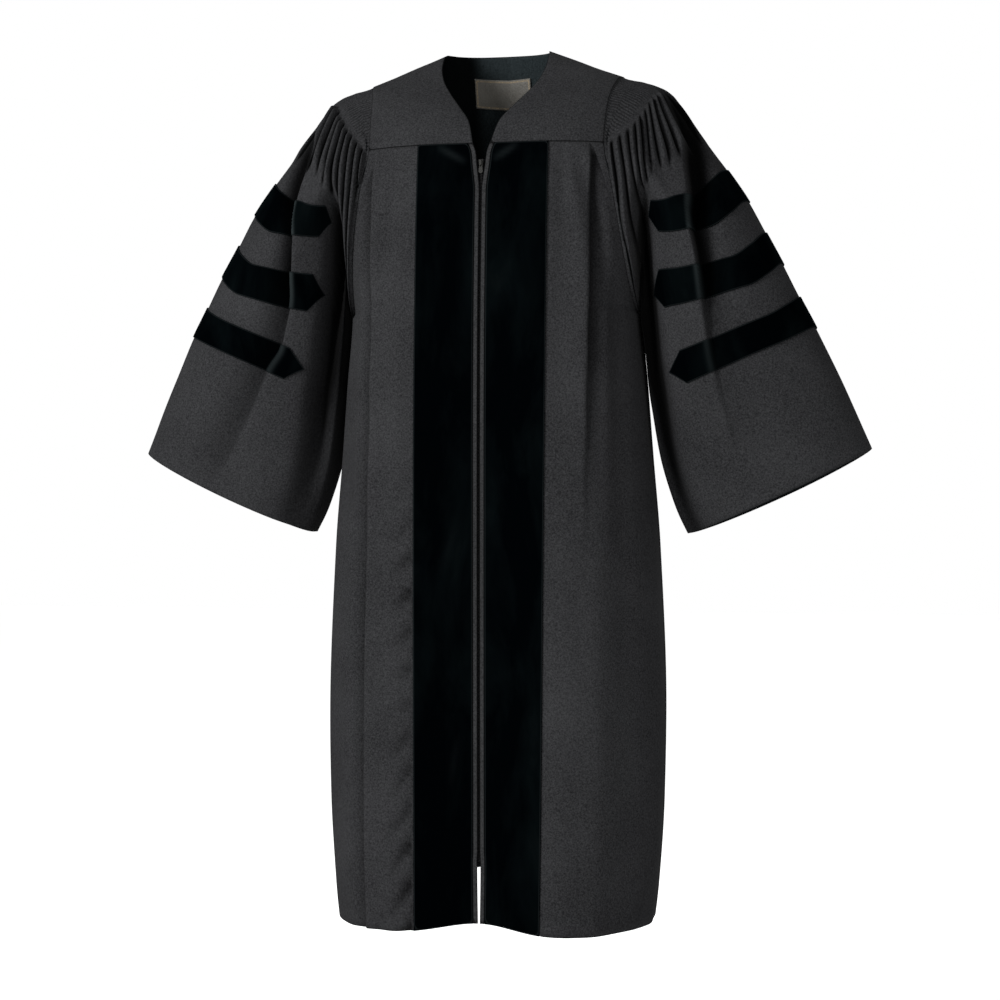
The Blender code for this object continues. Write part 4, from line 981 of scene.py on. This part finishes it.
def build_sleeve(side, name, materials):
    """The upper rows have twice the columns of the lower ones, joined by five-sided faces."""
    upper = UPPER_ROWS[:, None]
    lower = LOWER_ROWS[1:, None]
    fine, fine_shade, _ = sleeve_points(side, upper, sleeve_ring(upper, UNDERARM_FINE, HEAD_FINE))
    ring = sleeve_ring(lower, UNDERARM_FINE // 2, HEAD_FINE // 2)
    coarse, coarse_shade, _ = sleeve_points(side, lower, ring)
    many, few = fine.shape[1], coarse.shape[1]
    upper_index = np.arange(fine.shape[0] * many).reshape(fine.shape[0], many)
    lower_index = np.arange(coarse.shape[0] * few).reshape(coarse.shape[0], few) + upper_index.size
    faces = []
    for index in (upper_index, lower_index):
        index = np.concatenate([index, index[:, :1]], axis=1)
        corners = [index[:-1, :-1], index[1:, :-1], index[1:, 1:], index[:-1, 1:]]
        faces += np.stack(corners, axis=-1).reshape(-1, 4).tolist()
    last = upper_index[-1].tolist()
    first = lower_index[0].tolist()
    for i in range(few):
        after = (i + 1) % few
        faces.append([last[2 * i], first[i], first[after], last[(2 * i + 2) % many], last[2 * i + 1]])
    points = np.concatenate([fine.reshape(-1, 3), coarse.reshape(-1, 3)])
    made = shell(name, points, faces, side, WALL, materials, double=True)
    add_values(made, "shade", np.concatenate([fine_shade.ravel(), coarse_shade.ravel()]))
    add_values(made, "edge_distance", np.full(len(points), 1.0))
    return made


def bar_grid(bar):
    top = station_number(f"bar_{bar.number}_top")
    last = 180 - bar.back_angle
    first = bar.front_angle
    angles = np.concatenate([
        np.linspace(first, first + POINT_ANGLE, 16),
        np.linspace(first + POINT_ANGLE, last - POINT_ANGLE, 220)[1:-1],
        np.linspace(last - POINT_ANGLE, last, 16),
    ])
    width = np.clip(np.minimum(angles - first, last - angles) / POINT_ANGLE, 0.01, 1.0)
    across = np.linspace(-1, 1, 13)[:, None]
    along = top + 0.5 + 0.5 * across * width
    grid, shade, ridge = sleeve_points(bar.side, along, np.broadcast_to(angles, along.shape))
    return moved_out(grid, LAY_GAP), shade, ridge


def tape_grid():
    rows = []
    for z in np.linspace(TAPE_TOP_Z, ZIP_END_Z, 60):
        middle = front_row(1, z, arcs=np.array([0.0]))[0]
        row = np.zeros((15, 3))
        row[:, 0] = np.linspace(-TAPE_HALF_WIDTH, TAPE_HALF_WIDTH, 15)
        row[:, 1] = middle[1] + TAPE_SET_BACK
        row[:, 2] = middle[2]
        rows.append(row)
    return np.array(rows)


def build_teeth(mats):
    """Teeth in pairs down the chain."""
    count = int((CHAIN_TOP_Z - ZIP_END_Z) / TOOTH_PITCH)
    points, faces = [], []
    for i in range(count):
        z = CHAIN_TOP_Z - i * TOOTH_PITCH
        middle = front_row(1, z, arcs=np.array([0.0]))[0]
        lean = 1 if i % 2 else -1
        w, h, d = TOOTH_WIDTH / 2, TOOTH_HEIGHT / 2, 0.0007
        base = len(points)
        for y in (-d, d):
            for x, dz in ((-w, -h), (w, -h), (w * 0.8, h), (-w * 0.8, h)):
                points.append((x + lean * 0.0004, middle[1] + CHAIN_SET_BACK + 0.0006 + y, middle[2] + dz))
        quads = ((0, 1, 2, 3), (7, 6, 5, 4), (0, 4, 5, 1), (1, 5, 6, 2), (2, 6, 7, 3), (3, 7, 4, 0))
        faces += [[base + i for i in quad] for quad in quads]
    mesh = bpy.data.meshes.new("zip_teeth")
    mesh.from_pydata(points, [], faces)
    mesh.materials.append(mats["teeth"])
    made = bpy.data.objects.new("zip_teeth", mesh)
    bpy.context.scene.collection.objects.link(made)
    return made


def node(tree, kind, **values):
    made = tree.nodes.new(kind)
    for key, value in values.items():
        if hasattr(made, key):
            setattr(made, key, value)
        else:
            made.inputs[key.replace("_", " ")].default_value = value
    return made


def ramp(tree, source, stops):
    made = tree.nodes.new("ShaderNodeValToRGB")
    elements = made.color_ramp.elements
    while len(elements) < len(stops):
        elements.new(0.5)
    for element, (place, colour) in zip(elements, stops):
        element.position = place
        element.color = (*colour, 1.0)
    tree.links.new(source, made.inputs["Fac"])
    return made.outputs["Color"]


def surface(name):
    made = bpy.data.materials.new(name)
    made.use_nodes = True
    tree = made.node_tree
    shader = tree.nodes["Principled BSDF"]
    place = tree.nodes.new("ShaderNodeTexCoord").outputs["Object"]
    return made, tree, shader, place


def stitched(tree, distance, width=0.0012):
    """A factor that is 1 along a row of stitches at a distance from the cloth's edge."""
    edge = tree.nodes.new("ShaderNodeAttribute")
    edge.attribute_name = "edge_distance"
    away = node(tree, "ShaderNodeMath", operation="SUBTRACT")
    away.inputs[1].default_value = distance
    tree.links.new(edge.outputs["Fac"], away.inputs[0])
    size = node(tree, "ShaderNodeMath", operation="ABSOLUTE")
    tree.links.new(away.outputs[0], size.inputs[0])
    near = node(tree, "ShaderNodeMapRange", clamp=True)
    near.inputs["From Min"].default_value = width
    near.inputs["From Max"].default_value = 0.0
    tree.links.new(size.outputs[0], near.inputs["Value"])
    return near.outputs["Result"]


def mixed_colour(tree, first, second, factor):
    """Two colours, sockets or plain values, mixed by a factor."""
    made = tree.nodes.new("ShaderNodeMix")
    made.data_type = "RGBA"
    sockets = [each for each in made.inputs if each.type == "RGBA"]
    for socket, value in zip(sockets, (first, second)):
        if isinstance(value, tuple):
            socket.default_value = (*value, 1.0)
        else:
            tree.links.new(value, socket)
    tree.links.new(factor, made.inputs["Factor"])
    return [each for each in made.outputs if each.type == "RGBA"][0]


def scaled_value(tree, name, scale):
    """A piece's own value, by name, times a number."""
    source = tree.nodes.new("ShaderNodeAttribute")
    source.attribute_name = name
    made = node(tree, "ShaderNodeMath", operation="MULTIPLY")
    made.inputs[1].default_value = scale
    tree.links.new(source.outputs["Fac"], made.inputs[0])
    return made.outputs[0]


def uneven_roughness(tree, shader, source, low, high):
    spread = node(tree, "ShaderNodeMapRange")
    spread.inputs["From Min"].default_value = 0.3
    spread.inputs["From Max"].default_value = 0.7
    spread.inputs["To Min"].default_value = low
    spread.inputs["To Max"].default_value = high
    tree.links.new(source, spread.inputs["Value"])
    tree.links.new(spread.outputs["Result"], shader.inputs["Roughness"])


def crepe(name, low, high, sheen=0.0, shade="shade"):
    """Fine pebbled crepe, with a slight heather, a dark seam line at the panel's edges, and painted shade
    from the piece's shade value.
    """
    made, tree, shader, place = surface(name)
    fine = node(tree, "ShaderNodeTexNoise", Scale=430.0, Detail=3.0, Roughness=0.7)
    broad = node(tree, "ShaderNodeTexNoise", Scale=9.0, Detail=2.0, Roughness=0.5)
    for each in (fine, broad):
        tree.links.new(place, each.inputs["Vector"])
    mixed = node(tree, "ShaderNodeMath", operation="MULTIPLY_ADD")
    mixed.inputs[1].default_value = 0.22
    tree.links.new(broad.outputs["Fac"], mixed.inputs[0])
    tree.links.new(fine.outputs["Fac"], mixed.inputs[2])
    colour = ramp(tree, mixed.outputs[0], ((0.42, low), (0.80, high)))
    dark = tuple(0.12 * value for value in low)
    sewn = mixed_colour(tree, colour, dark, stitched(tree, 0.0002, 0.0011))
    # Painted shade: the colour goes to near black where the piece's shade value is high.
    shaded = mixed_colour(tree, sewn, (0.0001, 0.0001, 0.0001), scaled_value(tree, shade, 0.94))
    tree.links.new(shaded, shader.inputs["Base Color"])
    uneven_roughness(tree, shader, broad.outputs["Fac"], 0.80, 0.95)
    shader.inputs["Specular IOR Level"].default_value = 0.0
    shader.inputs["Sheen Weight"].default_value = sheen
    shader.inputs["Sheen Roughness"].default_value = 0.5
    raised = node(tree, "ShaderNodeBump", Strength=0.35, Distance=0.0005)
    tree.links.new(fine.outputs["Fac"], raised.inputs["Height"])
    tree.links.new(raised.outputs["Normal"], shader.inputs["Normal"])
    return made


def velvet(name):
    """Near-black pile whose nap lies in soft uneven patches, with a painted highlight along fold edges and
    crush lines, and painted shade.
    """
    made, tree, shader, place = surface(name)
    stretched = node(tree, "ShaderNodeMapping")
    stretched.inputs["Scale"].default_value = (1.0, 1.0, 0.35)
    tree.links.new(place, stretched.inputs["Vector"])
    patches = node(tree, "ShaderNodeTexNoise", Scale=14.0, Detail=4.0, Roughness=0.6, Distortion=0.4)
    tree.links.new(stretched.outputs["Vector"], patches.inputs["Vector"])
    pile = node(tree, "ShaderNodeTexNoise", Scale=1500.0, Detail=2.0)
    tree.links.new(place, pile.inputs["Vector"])
    stops = (
        (0.44, (0.0001, 0.0002, 0.0003)),
        (0.64, (0.0004, 0.0007, 0.0008)),
        (0.84, (0.0010, 0.0014, 0.0015)),
    )
    colour = ramp(tree, patches.outputs["Fac"], stops)
    # Painted highlight from the piece's ridge value.
    lit = mixed_colour(tree, colour, (0.0100, 0.0125, 0.0130), scaled_value(tree, "ridge", 0.75))
    edge = mixed_colour(tree, lit, (0.0028, 0.0034, 0.0036), stitched(tree, 0.0010, 0.0010))
    # Painted shade from the piece's shade value.
    shaded = mixed_colour(tree, edge, (0.0001, 0.0001, 0.0001), scaled_value(tree, "shade", 0.92))
    tree.links.new(shaded, shader.inputs["Base Color"])
    uneven_roughness(tree, shader, patches.outputs["Fac"], 0.85, 1.0)
    shader.inputs["Specular IOR Level"].default_value = 0.0
    shader.inputs["Sheen Weight"].default_value = 0.020
    shader.inputs["Sheen Roughness"].default_value = 0.30
    shader.inputs["Sheen Tint"].default_value = (0.10, 0.14, 0.155, 1.0)
    raised = node(tree, "ShaderNodeBump", Strength=0.4, Distance=0.0006)
    tree.links.new(pile.outputs["Fac"], raised.inputs["Height"])
    tree.links.new(raised.outputs["Normal"], shader.inputs["Normal"])
    return made


def metal(name):
    made, tree, shader, place = surface(name)
    wear = node(tree, "ShaderNodeTexNoise", Scale=900.0, Detail=3.0)
    tree.links.new(place, wear.inputs["Vector"])
    colour = ramp(tree, wear.outputs["Fac"], ((0.35, (0.006, 0.006, 0.0056)), (0.75, (0.022, 0.022, 0.021))))
    tree.links.new(colour, shader.inputs["Base Color"])
    shader.inputs["Metallic"].default_value = 1.0
    uneven_roughness(tree, shader, wear.outputs["Fac"], 0.50, 0.70)
    return made


def moulded(name):
    """Dull dark plastic, slightly uneven, for the zip's teeth."""
    made, tree, shader, place = surface(name)
    mottle = node(tree, "ShaderNodeTexNoise", Scale=700.0, Detail=2.0)
    tree.links.new(place, mottle.inputs["Vector"])
    stops = ((0.35, (0.0010, 0.0010, 0.0011)), (0.70, (0.0024, 0.0024, 0.0027)))
    colour = ramp(tree, mottle.outputs["Fac"], stops)
    tree.links.new(colour, shader.inputs["Base Color"])
    uneven_roughness(tree, shader, mottle.outputs["Fac"], 0.80, 0.95)
    shader.inputs["Specular IOR Level"].default_value = 0.1
    raised = node(tree, "ShaderNodeBump", Strength=0.3, Distance=0.0001)
    tree.links.new(mottle.outputs["Fac"], raised.inputs["Height"])
    tree.links.new(raised.outputs["Normal"], shader.inputs["Normal"])
    return made


def label_cloth(name):
    """Woven satin with a tan line of stitching near its edge."""
    made, tree, shader, place = surface(name)
    weave = node(tree, "ShaderNodeTexWave", Scale=700.0, Distortion=0.6, bands_direction="Z")
    tree.links.new(place, weave.inputs["Vector"])
    stops = ((0.2, (0.009, 0.0080, 0.0058)), (0.9, (0.034, 0.0296, 0.0206)))
    colour = ramp(tree, weave.outputs["Fac"], stops)
    thread = node(tree, "ShaderNodeTexNoise", Scale=600.0, Detail=1.0)
    tree.links.new(place, thread.inputs["Vector"])
    tan = ramp(tree, thread.outputs["Fac"], ((0.40, (0.030, 0.020, 0.008)), (0.62, (0.105, 0.075, 0.036))))
    bordered = mixed_colour(tree, colour, tan, stitched(tree, 0.0030, 0.0018))
    tree.links.new(bordered, shader.inputs["Base Color"])
    uneven_roughness(tree, shader, thread.outputs["Fac"], 0.5, 0.75)
    raised = node(tree, "ShaderNodeBump", Strength=0.4, Distance=0.0003)
    tree.links.new(weave.outputs["Fac"], raised.inputs["Height"])
    tree.links.new(raised.outputs["Normal"], shader.inputs["Normal"])
    return made


def plain(name, colour, roughness):
    made, _, shader, _ = surface(name)
    shader.inputs["Base Color"].default_value = (*colour, 1.0)
    shader.inputs["Roughness"].default_value = roughness
    shader.inputs["Specular IOR Level"].default_value = 0.1
    return made


def materials():
    return {
        "cloth": crepe("crepe_outside", (0.0038, 0.0038, 0.0041), (0.0134, 0.0136, 0.0143), sheen=0.006),
        # The inside faces: the same crepe made darker, as painted shade inside the gown.
        "inside": crepe("crepe_inside_shaded", (0.0014, 0.0016, 0.0018), (0.0036, 0.0040, 0.0043)),
        "lining": crepe("yoke_lining", (0.0036, 0.0048, 0.0052), (0.0100, 0.0128, 0.0138), shade="hollow"),
        "edging": crepe("edging", (0.0046, 0.0047, 0.0049), (0.0135, 0.0137, 0.0142), sheen=0.01),
        "velvet": velvet("velvet_pile"),
        "tape": crepe("zip_tape_cloth", (0.0010, 0.0010, 0.0012), (0.0030, 0.0030, 0.0034)),
        "teeth": moulded("zip_teeth_plastic"),
        "metal": metal("zip_metal"),
        "label": label_cloth("label_satin"),
    }


def add_light(name, kind, place, aim, energy, size):
    data = bpy.data.lights.new(name, kind)
    data.energy = energy
    if kind == "AREA":
        data.shape = "RECTANGLE"
        data.size, data.size_y = size
    made = bpy.data.objects.new(name, data)
    made.location = place
    direction = np.array(aim) - np.array(place)
    flat = math.hypot(direction[0], direction[1])
    turn = math.atan2(direction[0], -direction[1]) + math.pi
    made.rotation_euler = (math.atan2(flat, -direction[2]), 0.0, turn)
    bpy.context.scene.collection.objects.link(made)
    return made


def build_stage():
    scene = bpy.context.scene
    world = bpy.data.worlds.new("studio")
    world.use_nodes = True
    world.node_tree.nodes["Background"].inputs["Color"].default_value = (1.0, 1.0, 1.0, 1.0)
    world.node_tree.nodes["Background"].inputs["Strength"].default_value = 1.0
    scene.world = world
    scene.view_settings.view_transform = "Standard"

    mesh = bpy.data.meshes.new("floor")
    size, z = 14.0, -1.62
    corners = [(-size, -size, z), (size, -size, z), (size, size, z), (-size, size, z)]
    mesh.from_pydata(corners, [], [(0, 1, 2, 3)])
    floor = bpy.data.objects.new("floor", mesh)
    scene.collection.objects.link(floor)
    mesh.materials.append(plain("floor_paint", (1.0, 1.0, 1.0), 1.0))

    add_light("key", "AREA", (-1.8, -2.4, 0.5), (0, 0, -0.55), 260, (1.0, 0.9))
    add_light("fill", "AREA", (1.3, -2.8, -0.3), (0, 0, -0.6), 60, (1.4, 1.0))

    data = bpy.data.cameras.new("camera")
    data.lens = 72
    data.sensor_width = 36
    data.shift_x = 0.0015
    camera = bpy.data.objects.new("camera", data)
    azimuth = math.radians(11)
    camera.location = (3 * math.sin(azimuth), -3 * math.cos(azimuth), -0.67)
    camera.rotation_euler = (math.pi / 2, 0, azimuth)
    scene.collection.objects.link(camera)
    scene.camera = camera


def main():
    mats = materials()
    build_stage()
    made = build_fronts(mats)
    cloth = [mats["cloth"], mats["inside"]]
    lined = [mats["cloth"], mats["lining"]]
    made.append((grid_piece("shell_back", back_grid(), 1, WALL, cloth, double=True), "back"))
    yoke = yoke_front_grid()
    for side, name in ((1, "left"), (-1, "right")):
        piece = grid_piece(f"shell_yoke_front_{name}", yoke, side, WALL, lined, double=True)
        made.append((piece, f"yoke_front_{name}"))
        piece = build_sleeve(side, f"shell_sleeve_{name}", cloth)
        made.append((piece, f"sleeve_{name}"))
    grid = yoke_back_grid()
    piece = grid_piece("shell_yoke_back", grid, 1, WALL, lined, double=True)
    add_values(piece, "hollow", HOLLOW_SHADE * smoothstep((HOLLOW_X - grid[..., 0]) / HOLLOW_BLEND))
    made.append((piece, "yoke_back"))
    for bar in BARS:
        name = f"bar_{bar.name}_{bar.number}"
        grid, shade, ridge = bar_grid(bar)
        piece = grid_piece(f"shell_{name}", grid, bar.side, VELVET_WALL, [mats["velvet"]], outward=True)
        # The bar's painted shade and painted highlight, read by the velvet.
        add_values(piece, "shade", shade)
        add_values(piece, "ridge", ridge)
        made.append((piece, name))
    piece = grid_piece("shell_neck_label", label_grid()[:, ::-1], 1, TAPE_WALL, [mats["label"]])
    made.append((piece, "neck_label"))
    made.append((grid_piece("shell_zip_tape", tape_grid(), 1, TAPE_WALL, [mats["tape"]]), "zip_tape"))
    made.append((build_teeth(mats), "zip_chain"))
    pieces = {solid: piece for piece, solid in made}
    for solid, piece in pieces.items():
        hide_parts(solid)
        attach(piece, "gown")
    for name in ("zip_slider", "zip_pull"):
        node_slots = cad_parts[name].data.materials
        for i in range(len(node_slots)):
            node_slots[i] = mats["metal"]


main()
